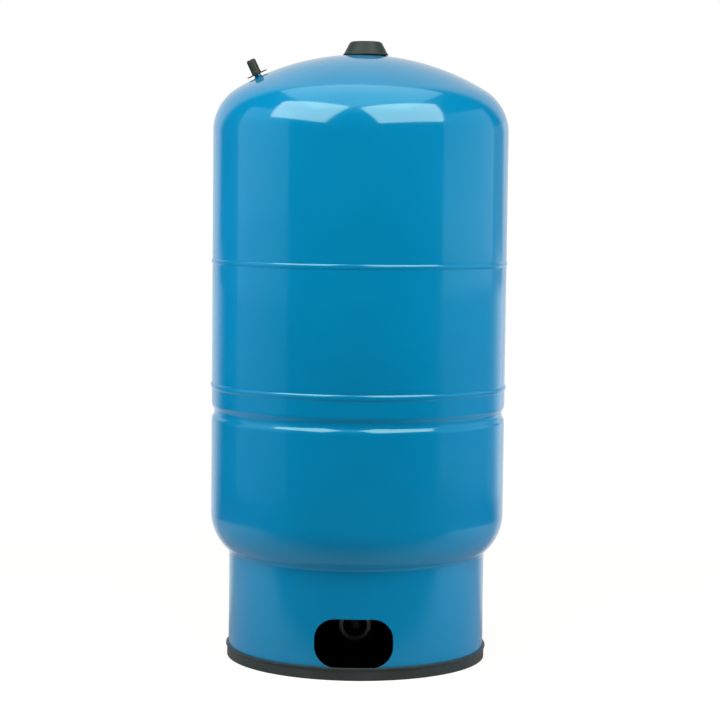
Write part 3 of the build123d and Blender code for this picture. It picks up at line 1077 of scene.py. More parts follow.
@dataclass
class PressureShell:
    """Pressed heads, rolled band, girth beads and the band's own seam.

    Args:
        form: The vessel's outer form.
        segments: Steps of a full turn on the large surfaces.
        root_opening: Gap between a head's edge and its seam, which the bead fills.
        upper_bead_width: Width of the upper girth bead.
        lower_bead_width: Width of the lower girth bead.
        ripple_pitch: Distance between a bead's ripples.
        ripple_depth: Height of a ripple.
        groove_drop: How far the clamp groove's middle lies under the lower seam.
        groove_half: Half the groove's width between its shoulders' crests.
        groove_depth: Its depth.
        hole: Radius of the hole in the bottom head.
    """

    form: TankForm
    segments: int = 384
    root_opening: float = 1.2 * MM
    upper_bead_width: float = 7.0 * MM
    lower_bead_width: float = 8.0 * MM
    ripple_pitch: float = 3.4 * MM
    ripple_depth: float = 0.1 * MM
    groove_drop: float = 34.9 * MM
    groove_half: float = 12.0 * MM
    groove_depth: float = 3.4 * MM
    hole: float = 20.1 * MM

    def dome_outline(self) -> Points:
        """Outer face from the axis down to the seam, then the inner face back up.

        Returns:
            Rows of out and along.
        """
        form = self.form
        edge = form.upper_seam + self.root_opening
        outer = np.concatenate([[(form.radius, edge)], form.head(Side.TOP, 0.0)])
        inner = np.concatenate([[(form.radius - form.wall, edge)], form.head(Side.TOP, form.wall)])
        return np.concatenate([outer[::-1], inner])

    def groove(self, inset: float) -> Points:
        """Shoulder, valley and shoulder of the clamp groove, from the top down.

        Three arcs of one radius meet in line. Each turns by twice atan(depth / half width).

        Args:
            inset: How far in from the outer face.

        Returns:
            Rows of out and along.
        """
        turn = 2 * math.atan(self.groove_depth / self.groove_half)
        radius = self.groove_half / (2 * math.sin(turn))
        height = self.form.lower_seam - self.groove_drop
        shoulder = self.form.radius - radius
        valley = self.form.radius - self.groove_depth + radius
        half = self.groove_half
        top = arc((shoulder, height + half), radius - inset, 0.0, -turn, GROOVE_STEPS)
        middle = arc((valley, height), radius + inset, math.pi - turn, math.pi + turn, 2 * GROOVE_STEPS)
        bottom = arc((shoulder, height - half), radius - inset, turn, 0.0, GROOVE_STEPS)
        return np.concatenate([top, middle[1:], bottom[1:]])

    def bowl_outline(self) -> Points:
        """Outer face from the seam over the groove and the head to the hole, and back inside.

        Returns:
            Rows of out and along.
        """
        form = self.form
        edge = form.lower_seam - self.root_opening
        faces = []
        for inset in (0.0, form.wall):
            head = form.head(Side.BOTTOM, inset, self.hole)
            faces.append(np.concatenate([[(form.radius - inset, edge)], self.groove(inset), head]))
        outer, inner = faces
        return np.concatenate([outer, inner[::-1]])

    def band_outline(self) -> Points:
        """Rolled band with a swage at each end that carries its lap inside a head.

        Returns:
            Rows of out and along.
        """
        form = self.form
        swage, ease, fit = 2.5 * MM, 1.0 * MM, 0.1 * MM
        step = form.wall + fit
        outer = [
            (form.radius - step, form.upper_seam + form.lap, 0.0),
            (form.radius - step, form.upper_seam, ease),
            (form.radius, form.upper_seam - swage, ease),
            (form.radius, form.lower_seam + swage, ease),
            (form.radius - step, form.lower_seam, ease),
            (form.radius - step, form.lower_seam - form.lap, 0.0),
        ]
        inner = [(out - form.wall, along, ease) for out, along, ease in reversed(outer)]
        return rounded([*outer, *inner])

    def bead(self, name: str, node: str, seam: float, width: float) -> None:
        """A girth bead: a low arch on the wall, with crescent ripples left by the weld pool.

        A ripple = depth × (cos(count × angle + lean × (distance from the seam)²) - 1) / 2,
        faded out at the bead's toes.

        Args:
            name: The piece's name.
            node: The node that it stands for, which also gives its rise.
            seam: Height of its crest.
            width: Its width.
        """
        form = self.form
        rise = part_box(node)[1].x - form.radius
        half, sink, lean = width / 2, 0.4 * MM, 1.6
        arch_radius = (half**2 + rise**2) / (2 * rise)
        spread = math.asin(half / arch_radius)
        crest = arc((form.radius + rise - arch_radius, seam), arch_radius, -spread, spread, ARCH_STEPS)
        root = [(form.radius - sink, seam + half), (form.radius - sink, seam - half)]
        count = round(FULL_TURN * form.radius / self.ripple_pitch)

        def ripples(out: Points, along: Points, angle: Points) -> Points:
            """The bead's crescents, on its arch only."""
            across = (along - seam) / half
            wave = (np.cos(count * angle + lean * across**2) - 1) / 2
            return self.ripple_depth * wave * (1 - across**2) * (out > form.radius)

        outline = np.concatenate([crest, root])
        piece = turned_piece(name, outline, segments=RIPPLE_STEPS * count, relief=ripples)
        settle(piece, ENAMEL, Slot.SHELL, Body.TANK, node)

    def build(self) -> None:
        """Makes and dresses the dome, the band, the bowl and the welds between them."""
        form = self.form
        dome = turned_piece("painted_dome", self.dome_outline(), segments=self.segments, poles=True)
        settle(dome, ENAMEL, Slot.SHELL, Body.TANK, "upper_shell")
        band = turned_piece("painted_band", self.band_outline(), segments=self.segments)
        settle(band, ENAMEL, Slot.SHELL, Body.TANK, "middle_shell")
        bowl = turned_piece("painted_bowl", self.bowl_outline(), segments=self.segments)
        settle(bowl, ENAMEL, Slot.SHELL, Body.TANK, "lower_shell")
        self.bead("upper_girth_bead", "upper_girth_weld", form.upper_seam, self.upper_bead_width)
        self.bead("lower_girth_bead", "lower_girth_weld", form.lower_seam, self.lower_bead_width)
        upright = UprightBead(
            face_radius=form.radius,
            low=form.lower_seam + self.lower_bead_width / 2 + BEAD_GAP,
            high=form.upper_seam - self.upper_bead_width / 2 - BEAD_GAP,
        )
        settle(upright.build("band_seam_bead"), ENAMEL, Slot.SHELL, Body.TANK, "band_weld")


@dataclass(frozen=True)
class UprightBead:
    """Longitudinal weld bead at the back of a rolled cylinder.

    Args:
        face_radius: Radius of the face that it stands on.
        low: Height of its lower end.
        high: Height of its upper end.
        width: Its width.
        rise: How far it stands out.
        pitch: Distance between its ripples.
        depth: Height of a ripple.
        columns: Points round its section.
    """

    face_radius: float
    low: float
    high: float
    width: float = 7.0 * MM
    rise: float = 0.9 * MM
    pitch: float = 1.6 * MM
    depth: float = 0.06 * MM
    columns: int = 28

    def build(self, name: str) -> bpy.types.Object:
        """A long oval bar sunk half into the wall.

        At a height z the section is (half width × e cos v, rise × e sin v + ripple), where
        e = sqrt(1 - t²) rounds each end over half a width and ripple follows
        cos(2π (z + lag x²) / pitch) on the outer half.

        Args:
            name: The piece's name.

        Returns:
            The linked object.
        """
        half = self.width / 2
        rows = int((self.high - self.low) / self.pitch * RIPPLE_STEPS)
        height = np.linspace(self.low, self.high, rows)[:, None]
        turn = np.linspace(0.0, FULL_TURN, self.columns, endpoint=False)[None, :]
        end = np.minimum(height - self.low, self.high - height)
        short = np.clip(1 - end / half, 0.0, 1.0)
        ease = np.sqrt(1 - short**2)
        across = half * ease * np.cos(turn)
        lag = half * (across / half) ** 2
        wave = np.cos(FULL_TURN * (height + lag) / self.pitch)
        ripple = self.depth * wave * np.clip(np.sin(turn), 0.0, 1.0) * ease
        stand_out = self.rise * ease * np.sin(turn) + ripple
        points = np.stack([across, self.face_radius + stand_out, height + 0 * across], axis=-1)
        faces = grid_faces(np.arange(across.size).reshape(across.shape), wrap_rows=False, wrap_columns=True)
        return make_piece(name, points.reshape(-1, 3), faces)


@dataclass
class StandWall:
    """Rolled stand with its pipe slot, as one closed sheet.

    Args:
        radius: Radius of its outer face.
        low: Height of its lower edge.
        high: Height of its upper edge.
        level: Height of the slot's middle.
        wall: Thickness of its sheet.
        slot_width: Width of the slot.
        slot_height: Height of the slot.
        slot_corner: Radius of the slot's corners.
        edge_round: Radius of the slot's rolled edges.
        patch_half: Half the width of the part that is meshed round the slot.
        columns: Points round the slot.
        rows: Rows of points between the slot and the part's edge.
    """

    radius: float
    low: float
    high: float
    level: float
    wall: float = 1.5 * MM
    slot_width: float = 100.8 * MM
    slot_height: float = 62.8 * MM
    slot_corner: float = 26.7 * MM
    edge_round: float = 0.4 * MM
    patch_half: float = 80.0 * MM
    columns: int = 240
    rows: int = 26

    def slot_outline(self) -> tuple[Points, Points]:
        """The slot's outline, from its corners' arcs, divided evenly by length.

        Returns:
            Its points, and the unit vectors that point away from it.
        """
        x, z = self.slot_width / 2, self.slot_height / 2
        corners = [(0.0, -z, 0.0), (x, -z, self.slot_corner), (x, z, self.slot_corner)]
        corners += [(-x, z, self.slot_corner), (-x, -z, self.slot_corner)]
        loop = rounded(corners, steps=24)
        closed = np.concatenate([loop, loop[:1]])
        length = np.concatenate([[0.0], np.cumsum(np.linalg.norm(np.diff(closed, axis=0), axis=1))])
        at = np.linspace(0.0, length[-1], self.columns, endpoint=False)
        points = np.stack([np.interp(at, length, closed[:, 0]), np.interp(at, length, closed[:, 1])], axis=1)
        along = np.roll(points, -1, axis=0) - np.roll(points, 1, axis=0)
        along /= np.linalg.norm(along, axis=1, keepdims=True)
        return points + (0.0, self.level), np.stack([along[:, 1], -along[:, 0]], axis=1)

    def frame_points(self, outline: Points) -> Points:
        """Where the ray from the slot's middle through each point meets the patch's frame.

        The frame's own corners take the place of the nearest points, so none is cut off.

        Args:
            outline: The slot's outline.

        Returns:
            One point of the frame for each of the outline.
        """
        ray = outline - (0.0, self.level)
        with np.errstate(divide="ignore"):
            reach_x = self.patch_half / np.abs(ray[:, 0])
            room = np.where(ray[:, 1] > 0, self.high - self.level, self.level - self.low)
            reach_z = room / np.abs(ray[:, 1])
        points = ray * np.minimum(reach_x, reach_z)[:, None] + (0.0, self.level)
        sides = np.array([(x, z) for x in (-self.patch_half, self.patch_half) for z in (self.low, self.high)])
        gaps = np.linalg.norm(points[None] - sides[:, None], axis=2)
        points[gaps.argmin(axis=1)] = sides
        return points

    def patch(self) -> tuple[Points, Faces, Points]:
        """The front of the wall round the slot.

        A row blends from the frame to the slot's outline on the outer face, rolls over the
        slot's rounded edge and blends back on the inner face. On a face of radius R a
        point (x, z) lies at (x, -sqrt(R² - x²), z).

        Returns:
            Its vertices, its faces and the frame's points.
        """
        outline, outward = self.slot_outline()
        frame_line = self.frame_points(outline)
        share = np.linspace(1.0, 0.0, self.rows) ** 1.5
        turn = np.linspace(0.0, math.pi / 2, 4)
        bevel = self.edge_round * (1 - np.sin(turn))
        sunk = self.edge_round * (1 - np.cos(turn))
        edge_share = np.zeros(len(turn))
        shares = np.concatenate([share, edge_share[1:], edge_share[1:], share[::-1][1:]])
        blend_in = np.full(len(share), self.edge_round)
        offsets = np.concatenate([blend_in, bevel[1:], bevel[::-1][1:], blend_in[1:]])
        depths = np.concatenate([0 * share, sunk[1:], self.wall - sunk[::-1][1:], self.wall + 0 * share[1:]])
        near = outline[None] + outward[None] * offsets[:, None, None]
        flat = near * (1 - shares[:, None, None]) + frame_line[None] * shares[:, None, None]
        face = (self.radius - depths)[:, None]
        points = np.stack([flat[..., 0], -np.sqrt(face**2 - flat[..., 0] ** 2), flat[..., 1]], axis=-1)
        index = np.arange(points.shape[0] * points.shape[1]).reshape(points.shape[:2])
        faces = grid_faces(index, wrap_rows=False, wrap_columns=True)
        level_edge = np.isclose(frame_line[:, 1], self.low) | np.isclose(frame_line[:, 1], self.high)
        both = level_edge & np.roll(level_edge, -1)
        rim = np.stack([index[-1], np.roll(index[-1], -1), np.roll(index[0], -1), index[0]], axis=1)[both]
        return points.reshape(-1, 3), np.concatenate([faces, rim]), frame_line

    def rest(self, frame_line: Points, first: int) -> tuple[Points, Faces]:
        """The rest of the wall: up its outer face and down its inner one, round the back.

        Args:
            frame_line: The patch's frame, whose heights its rows share.
            first: Number of its first vertex.

        Returns:
            Its vertices and faces.
        """
        heights = np.sort(frame_line[np.isclose(frame_line[:, 0], self.patch_half), 1])
        height = np.concatenate([heights, heights[::-1]])[:, None]
        face = np.repeat((self.radius, self.radius - self.wall), len(heights))[:, None]
        start = np.arcsin(self.patch_half / face)
        share = np.linspace(0.0, 1.0, 300)[None, :]
        bearing = start + share * (FULL_TURN - 2 * start)
        points = np.stack([face * np.sin(bearing), -face * np.cos(bearing), height + 0 * bearing], axis=-1)
        index = first + np.arange(bearing.size).reshape(bearing.shape)
        return points.reshape(-1, 3), grid_faces(index, wrap_rows=True, wrap_columns=False)

    def build(self, name: str) -> bpy.types.Object:
        """Joins the patch and the rest into one closed mesh."""
        front, front_faces, frame_line = self.patch()
        back, back_faces = self.rest(frame_line, len(front))
        faces = np.concatenate([front_faces, back_faces[:, ::-1]])
        return make_piece(name, np.concatenate([front, back]), faces)


@dataclass
class StandAssembly:
    """Stand, its welds and the ring that it stands in.

    Args:
        form: The vessel's outer form.
        inset: How far the stand's face lies in from the vessel's.
        slot_level: Height of the pipe slot's middle.
        ring_floor: Thickness of the ring's floor.
        ring_wall: Thickness of its two walls.
        ring_height: Height of its outer wall.
        ring_inner_height: Height of its inner wall.
        lip_width: How far its lip stands out.
        lip_height: Height of the lip.
        bead_leg: Leg of the weld under the bottom head.
    """

    form: TankForm
    inset: float = 24.6 * MM
    slot_level: float = 47.3 * MM
    ring_floor: float = 2.5 * MM
    ring_wall: float = 1.7 * MM
    ring_height: float = 16.5 * MM
    ring_inner_height: float = 12.0 * MM
    lip_width: float = 1.5 * MM
    lip_height: float = 2.4 * MM
    bead_leg: float = 2.5 * MM

    @property
    def radius(self) -> float:
        """Radius of the stand's outer face."""
        return self.form.radius - self.inset

    def ring_outline(self, wall: float) -> Points:
        """Channel section of the ring, with every moulded edge rounded.

        Args:
            wall: Thickness of the stand that it holds.

        Returns:
            Rows of out and along.
        """
        fit = 0.1 * MM
        outer_face = self.radius + fit
        outside = outer_face + self.ring_wall
        inner_face = self.radius - wall - fit
        inside = inner_face - self.ring_wall
        lip = outside + self.lip_width
        lip_foot = self.ring_height - self.lip_height
        return rounded(
            [
                (inside, 0.0, EASED),
                (outside, 0.0, 0.7 * MM),
                (outside, lip_foot - self.lip_width, ROUND),
                (lip, lip_foot, SOFT),
                (lip, self.ring_height, BLUNT),
                (outer_face, self.ring_height, BROKEN),
                (outer_face, self.ring_floor, BROKEN),
                (inner_face, self.ring_floor, BROKEN),
                (inner_face, self.ring_inner_height, BROKEN),
                (inside, self.ring_inner_height, BLUNT),
            ],
            steps=5,
        )

    def build(self) -> None:
        """Makes and dresses the wall, its two welds and the ring."""
        top = self.form.bottom_height(self.radius - StandWall.wall)
        wall = StandWall(self.radius, self.ring_floor, top, self.slot_level)
        settle(wall.build("painted_stand"), ENAMEL, Slot.SHELL, Body.TANK, "stand")

        meet = self.form.bottom_height(self.radius)
        out = self.radius + self.bead_leg
        toe = self.form.bottom_height(out)
        sink, face, edge, hollow = 0.3 * MM, 0.2 * MM, 0.1 * MM, 2.6 * MM
        fillet = rounded(
            [
                (self.radius - sink, meet - self.bead_leg, 0.0),
                (self.radius + face, meet - self.bead_leg, 0.0),
                (self.radius + 0.45 * self.bead_leg, meet - 0.2 * self.bead_leg, hollow),
                (out, toe - edge, 0.0),
                (out, toe + sink, 0.0),
                (self.radius - sink, toe + edge, 0.0),
            ],
            steps=8,
        )
        weld = turned_piece("stand_fillet_weld", fillet, segments=512)
        settle(weld, ENAMEL, Slot.SHELL, Body.TANK, "stand_weld")

        seam = UprightBead(self.radius, self.ring_height + BEAD_GAP, meet - self.bead_leg - BEAD_GAP)
        settle(seam.build("stand_seam_bead"), ENAMEL, Slot.SHELL, Body.TANK, "stand_seam_weld")

        ring = turned_piece("moulded_ring", self.ring_outline(wall.wall), segments=384)
        settle(ring, RING_PLASTIC, Slot.RING, Body.TANK, "base_ring")


@dataclass
class Outlet:
    """Cast elbow under the bottom head, its weld, and the pieces in its spigot.

    Args:
        form: The vessel's outer form.
        axis_height: Height of the level run.
        reach: How far its mouth stands out from the vessel's axis.
        bend_radius: Radius of the bend's centreline.
        bore: Radius of the passage.
        body: Radius of the skin round the bend.
        band: Radius of the band round the mouth.
        band_length: Length of the band.
        spigot: Radius of the spigot in the bottom head.
        spigot_drop: How far the spigot reaches under the head.
        thread: Radius of the mouth's thread at its crests.
        thread_length: Length of the thread.
        thread_pitch: Its pitch.
        thread_depth: Its depth.
        neck: Radius of the liner's neck, which the spigot holds.
        neck_length: Length of the neck's socket.
        weld_leg: Leg of the weld round the spigot.
    """

    form: TankForm
    axis_height: float = 48.0 * MM
    reach: float = 50.0 * MM
    bend_radius: float = 26.0 * MM
    bore: float = 13.0 * MM
    body: float = 18.5 * MM
    band: float = 22.5 * MM
    band_length: float = 14.0 * MM
    spigot: float = 20.0 * MM
    spigot_drop: float = 9.0 * MM
    thread: float = 14.68 * MM
    thread_length: float = 20.0 * MM
    thread_pitch: float = 25.4 / 11.5 * MM
    thread_depth: float = 1.3 * MM
    neck: float = 15.4 * MM
    neck_length: float = 9.0 * MM
    weld_leg: float = 3.0 * MM

    def elbow(self) -> bpy.types.Object:
        """The casting: its skin from the spigot's top round the bend, and the passage back.

        The pipe thread is a triangle wave of (distance from the mouth / pitch - turn),
        which opens towards the mouth by the pipe taper of 1 in 32.

        Returns:
            The linked object.
        """
        seal_depth, seal_width, fit = 2.2 * MM, 2.6 * MM, 0.1 * MM
        top = self.form.bottom_height(self.neck, seal_depth) - fit
        line = QuarterBend(top, self.axis_height, self.bend_radius)
        drop = top - self.axis_height - self.bend_radius
        length = drop + self.bend_radius * math.pi / 2 + self.reach - self.bend_radius
        shoulder = top - self.form.bottom_height(self.spigot) + self.spigot_drop
        socket = self.neck + fit
        recess = socket + seal_width
        band_back = length - self.band_length
        thread_end = length - self.thread_length
        edge, chamfer, draft, root, lead = 1.5 * MM, 1.2 * MM, 0.4 * MM, 0.1 * MM, 1.4 * MM
        swell = 2.5 * MM
        skin = rounded(
            [
                (self.spigot, 0.0, BROKEN),
                (self.spigot, shoulder, ROUND),
                (self.body, shoulder + edge, edge),
                (self.body, band_back - 2 * edge, swell),
                (self.band - draft, band_back, lead),
                (self.band, length - edge, SOFT),
                (self.band - edge, length, 0.7 * MM),
                (self.thread + chamfer, length, 0.25 * MM),
                (self.thread - root, length - lead, 0.0),
                (self.thread, thread_end, 0.0),
                (self.bore, thread_end - chamfer, BLUNT),
                (self.bore, self.neck_length, BROKEN),
                (socket, self.neck_length, FINE),
                (socket, seal_depth, FINE),
                (recess, seal_depth, FINE),
                (recess, 0.0, FINE),
            ]
        )
        near = skin[:, 0] < self.thread + draft
        in_thread = near & (skin[:, 1] > thread_end - THREAD_MARGIN)
        first = int(np.flatnonzero(in_thread).min())
        fine = spaced(skin[first : first + 2], self.thread_pitch / 10, closed=False)
        coarse, reach_out = 1.6 * MM, 0.3 * MM
        before = spaced(skin[: first + 1], coarse, closed=False)
        after = spaced(skin[first + 1 :], coarse, closed=False)
        outline = np.concatenate([before, fine[1:-1], after])

        def threads(out: Points, along: Points, angle: Points) -> Points:
            """The pipe thread, in the mouth only.

            Args:
                out: Distance from the centreline.
                along: Distance along it.
                angle: Angle round it.

            Returns:
                What is added to out.
            """
            phase = (length - along) / self.thread_pitch - angle / FULL_TURN
            wave = 1 - 2 * np.abs(phase % 1.0 - 0.5)
            taper = (along - thread_end) * PIPE_TAPER
            inside = (out < self.thread + reach_out) & (along > thread_end + THREAD_MARGIN)
            fade = window(along, thread_end, length - chamfer, swell)
            return inside * fade * (self.thread_depth * wave + taper)

        return turned_piece("cast_elbow", outline, line, segments=144, relief=threads)

    def build(self) -> None:
        """Makes and dresses the elbow and its weld, and dresses the neck's pieces."""
        # The elbow and its weld are in stainless darkened as painted shade.
        settle(self.elbow(), STAINLESS, Slot.STAINLESS, Body.TANK, "outlet_elbow")
        out = self.spigot + self.weld_leg
        meet = self.form.bottom_height(self.spigot)
        toe = self.form.bottom_height(out)
        sink, face = 0.2 * MM, 0.3 * MM
        fillet = rounded(
            [
                (self.spigot - sink, meet - self.weld_leg, 0.0),
                (self.spigot + face, meet - self.weld_leg, FINE),
                (out, toe - sink, BROKEN),
                (out, toe + face, 0.0),
                (self.spigot - sink, meet + face, 0.0),
            ]
        )
        weld = turned_piece("outlet_fillet_weld", spaced(fillet, 0.4 * MM), segments=256)
        settle(weld, STAINLESS, Slot.STAINLESS, Body.TANK, "outlet_weld")
        dress_node("liner_seal", SEAL_RUBBER)
        dress_node("liner_retainer", LINER_PLASTIC)


@dataclass
class CrownFitting:
    """Boss welded to the top of the dome, and the moulded cover that pushes over it.

    Args:
        form: The vessel's outer form.
        offset: How far its axis stands from the vessel's, towards +x.
        boss: Radius of the boss.
        weld_leg: Leg of the weld round the boss.
        height: How far the cover's top stands over the dome's top.
        wall: Thickness of the cover.
        top_radius: Radius where its top meets its side.
        foot_radius: Radius of its foot.
        lip_width: How far its lip stands out.
        lip_height: Height of the lip.
        corner: Radius of its upper corner.
        socket_wall: Thickness of the socket that grips the boss.
        socket_length: Length of the socket.
        fit: Clearance between the socket and the boss.
        gap: Free gap over the boss and under the lip.
    """

    form: TankForm
    offset: float = 5.2 * MM
    boss: float = 16.0 * MM
    weld_leg: float = 3.0 * MM
    height: float = 17.5 * MM
    wall: float = 2.0 * MM
    top_radius: float = 20.3 * MM
    foot_radius: float = 28.9 * MM
    lip_width: float = 1.0 * MM
    lip_height: float = 1.6 * MM
    corner: float = 6.0 * MM
    socket_wall: float = 1.6 * MM
    socket_length: float = 7.0 * MM
    fit: float = 0.08 * MM
    gap: float = 0.3 * MM

    def cover_outline(self) -> Points:
        """Outer face from the middle of the top down to the lip, and the inside back up.

        Returns:
            Rows of out and along.
        """
        top = self.form.crown_height(0.0) + self.height
        roof = top - self.wall
        bore = self.foot_radius - self.wall
        rim = self.form.crown_height(bore - self.offset) + self.gap
        socket = self.boss + self.fit
        lip = self.foot_radius + self.lip_width
        return rounded(
            [
                (0.0, top, 0.0),
                (self.top_radius, top, self.corner),
                (self.foot_radius, rim + self.lip_height, SOFT),
                (lip, rim + self.lip_height, SOFT),
                (lip, rim, EASED),
                (bore, rim, FINE),
                (bore, rim + self.lip_height, BROKEN),
                (self.top_radius - self.wall, roof, ROUND),
                (socket + self.socket_wall, roof, BROKEN),
                (socket + self.socket_wall, roof - self.socket_length, FINE),
                (socket, roof - self.socket_length, BROKEN),
                (socket, roof, BROKEN),
                (0.0, roof, 0.0),
            ],
            closed=False,
            steps=7,
        )

    def build(self) -> None:
        """Makes and dresses the boss, its weld and the cover."""
        axis = Axis(origin=(self.offset, 0.0, 0.0))
        toe = self.form.crown_height(self.boss + self.weld_leg + self.offset)
        boss_top = self.form.crown_height(0.0) + self.height - self.wall - self.gap
        boss = rounded(
            [
                (0.0, boss_top, 0.0),
                (self.boss, boss_top, ROUND),
                (self.boss, toe, 0.0),
                (0.0, toe, 0.0),
            ],
            closed=False,
        )
        piece = turned_piece("crown_boss_turning", boss, axis, segments=192, poles=True)
        settle(piece, ENAMEL, Slot.SHELL, Body.TANK, "crown_boss")

        out = self.boss + self.weld_leg
        crest = self.form.crown_height(out - self.offset) + self.weld_leg
        sink, face = 0.3 * MM, 0.4 * MM
        fillet = rounded(
            [
                (self.boss - sink, crest, 0.0),
                (self.boss + face, crest, EASED),
                (out, toe, BLUNT),
                (self.boss - sink, toe, 0.0),
            ]
        )
        weld = turned_piece("crown_fillet_weld", spaced(fillet, 0.5 * MM), axis, segments=256)
        settle(weld, ENAMEL, Slot.SHELL, Body.TANK, "crown_weld")

        cover = turned_piece("moulded_cover", self.cover_outline(), axis, segments=256, poles=True)
        settle(cover, COVER_PLASTIC, Slot.COVER, Body.COVER, "top_cover")


@dataclass
class AirValve:
    """Air valve on the dome's normal: stem, washer, ribbed cap and the core inside.

    Args:
        form: The vessel's outer form.
        bearing_degrees: Its place round the vessel's axis, from +x towards +y.
        foot_inset: How far its foot lies in from the vessel's wall.
        stem_foot: Radius of the stem's painted foot.
        foot_length: How far the foot stands out of the dome.
        inner_length: How far the stem reaches into the vessel.
        neck: Radius of the threaded neck.
        top: How far the stem's end stands out of the dome.
        thread_pitch: Pitch of the neck's thread.
        thread_depth: Depth of that thread.
        weld_leg: Leg of the weld round the foot.
        washer: Radius of the washer.
        washer_wall: Its thickness.
        cap_height: How far the cap's end stands out of the dome.
        cap_collar: Radius of the cap's collar.
        cap_collar_height: Height of the collar.
        cap_grip: Radius of the grip, between its ribs.
        cap_tip: Radius of the cap's end.
        cap_roof: Thickness of its roof.
        rib_count: How many ribs the grip has.
        rib_height: Height of a rib.
        gap: Free gap under the cap and round the neck.
        axis: The valve's own line, worked out from the form.
    """

    form: TankForm
    bearing_degrees: float = 186.0
    foot_inset: float = 58.8 * MM
    stem_foot: float = 4.5 * MM
    foot_length: float = 3.5 * MM
    inner_length: float = 4.0 * MM
    neck: float = 3.85 * MM
    top: float = 21.8 * MM
    thread_pitch: float = 25.4 / 32 * MM
    thread_depth: float = 0.32 * MM
    weld_leg: float = 1.2 * MM
    washer: float = 14.0 * MM
    washer_wall: float = 1.3 * MM
    cap_height: float = 24.6 * MM
    cap_collar: float = 6.4 * MM
    cap_collar_height: float = 2.4 * MM
    cap_grip: float = 5.8 * MM
    cap_tip: float = 4.8 * MM
    cap_roof: float = 1.5 * MM
    rib_count: int = 14
    rib_height: float = 0.37 * MM
    gap: float = 0.3 * MM
    axis: Axis = field(init=False)

    def __post_init__(self) -> None:
        """Sets the valve's axis: square to the dome at its foot."""
        out = self.form.radius - self.foot_inset
        bearing = math.radians(self.bearing_degrees)
        foot = (out * math.cos(bearing), out * math.sin(bearing), self.form.crown_height(out))
        normal = Vector((foot[0], foot[1], foot[2] - self.form.top_crown_centre)).normalized()
        self.axis = Axis(origin=foot, direction=tuple(normal))

    def stem(self) -> bpy.types.Object:
        """Stem with a painted foot and a threaded neck.

        The thread is a rounded wave: depth × (cos(2π (along / pitch - turn)) - 1) / 2.

        Returns:
            The linked object.
        """
        chamber, step, bore = 2.3 * MM, self.top - 8.8 * MM, 2.7 * MM
        bevel, skin = 0.4 * MM, 0.05 * MM
        corners = [
            (chamber, -self.inner_length, 0.0),
            (self.stem_foot, -self.inner_length, FINE),
            (self.stem_foot, self.foot_length, BROKEN),
            (self.neck, self.foot_length, KEEN),
            (self.neck, self.top - bevel, 0.0),
            (self.neck - bevel, self.top, 0.0),
            (bore, self.top, KEEN),
            (bore, step, 0.0),
            (chamber, step, 0.0),
        ]
        outline = spaced(rounded(corners), self.thread_pitch / 8)
        start = self.foot_length + self.washer_wall

        def threads(out: Points, along: Points, angle: Points) -> Points:
            """The valve thread, on the neck's outside only."""
            wave = (np.cos(FULL_TURN * along / self.thread_pitch - angle) - 1) / 2
            outside = out > self.neck - skin
            fade = window(along, start, self.top - bevel, self.thread_pitch)
            return outside * fade * self.thread_depth * wave

        stem = turned_piece("air_valve_stem", outline, self.axis, segments=72, relief=threads)
        self.part_paint(stem)
        return stem

    def part_paint(self, stem: bpy.types.Object) -> None:
        """Enamel on the stem's foot and bare metal above it, by each face's place along it.

        Args:
            stem: The finished stem.
        """
        mesh = stem.data
        mesh.materials.append(made(VALVE_METAL))
        mesh.materials.append(made(ENAMEL))
        centres = np.empty(3 * len(mesh.polygons))
        mesh.polygons.foreach_get("center", centres)
        along = (centres.reshape(-1, 3) - np.array(self.axis.origin)) @ np.array(self.axis.direction)
        painted = (along < self.foot_length + 0.2 * MM).astype(np.int32)
        mesh.polygons.foreach_set("material_index", painted)

    def cap(self) -> bpy.types.Object:
        """Closed cap with upright grip ribs: rib = height × ((1 + cos(count × angle)) / 2)³.

        Returns:
            The linked object.
        """
        foot = self.foot_length + self.washer_wall + self.gap
        bore = self.neck + self.gap
        crown, flare, skin, blend = 1.6 * MM, 0.6 * MM, 0.1 * MM, 0.5 * MM
        rib_low, rib_high = foot + self.cap_collar_height, self.cap_height - crown
        corners = [
            (0.0, self.cap_height, 0.0),
            (self.cap_tip, self.cap_height, SOFT),
            (self.cap_grip, rib_high, BLUNT),
            (self.cap_grip, rib_low + flare, BROKEN),
            (self.cap_collar, rib_low, BROKEN),
            (self.cap_collar, foot, BROKEN),
            (bore, foot, FINE),
            (bore, self.cap_height - self.cap_roof, FINE),
            (0.0, self.cap_height - self.cap_roof, 0.0),
        ]
        outline = spaced(rounded(corners, closed=False), blend, closed=False)

        def ribs(out: Points, along: Points, angle: Points) -> Points:
            """The ribs, on the grip's outside only."""
            ridge = ((1 + np.cos(self.rib_count * angle)) / 2) ** 3
            outside = out > self.cap_grip - skin
            fade = window(along, rib_low + skin, rib_high + 0.2 * MM, blend)
            return outside * fade * self.rib_height * ridge

        return turned_piece("air_valve_cap", outline, self.axis, segments=224, poles=True, relief=ribs)

    def build(self) -> None:
        """Makes and dresses the stem, its weld, the washer and the cap, and dresses the core."""
        settle(self.stem(), VALVE_METAL, Slot.VALVE_STEEL, Body.TANK, "valve_stem")
        toe = self.stem_foot + self.weld_leg
        sink, face, root = 0.1 * MM, 0.15 * MM, 0.4 * MM
        fillet = rounded(
            [
                (self.stem_foot - sink, self.weld_leg, 0.0),
                (self.stem_foot + face, self.weld_leg, KEEN),
                (toe, 0.0, FINE),
                (self.stem_foot - sink, -root, 0.0),
            ]
        )
        weld = turned_piece("stem_fillet_weld", fillet, self.axis, segments=96)
        settle(weld, ENAMEL, Slot.SHELL, Body.TANK, "stem_weld")

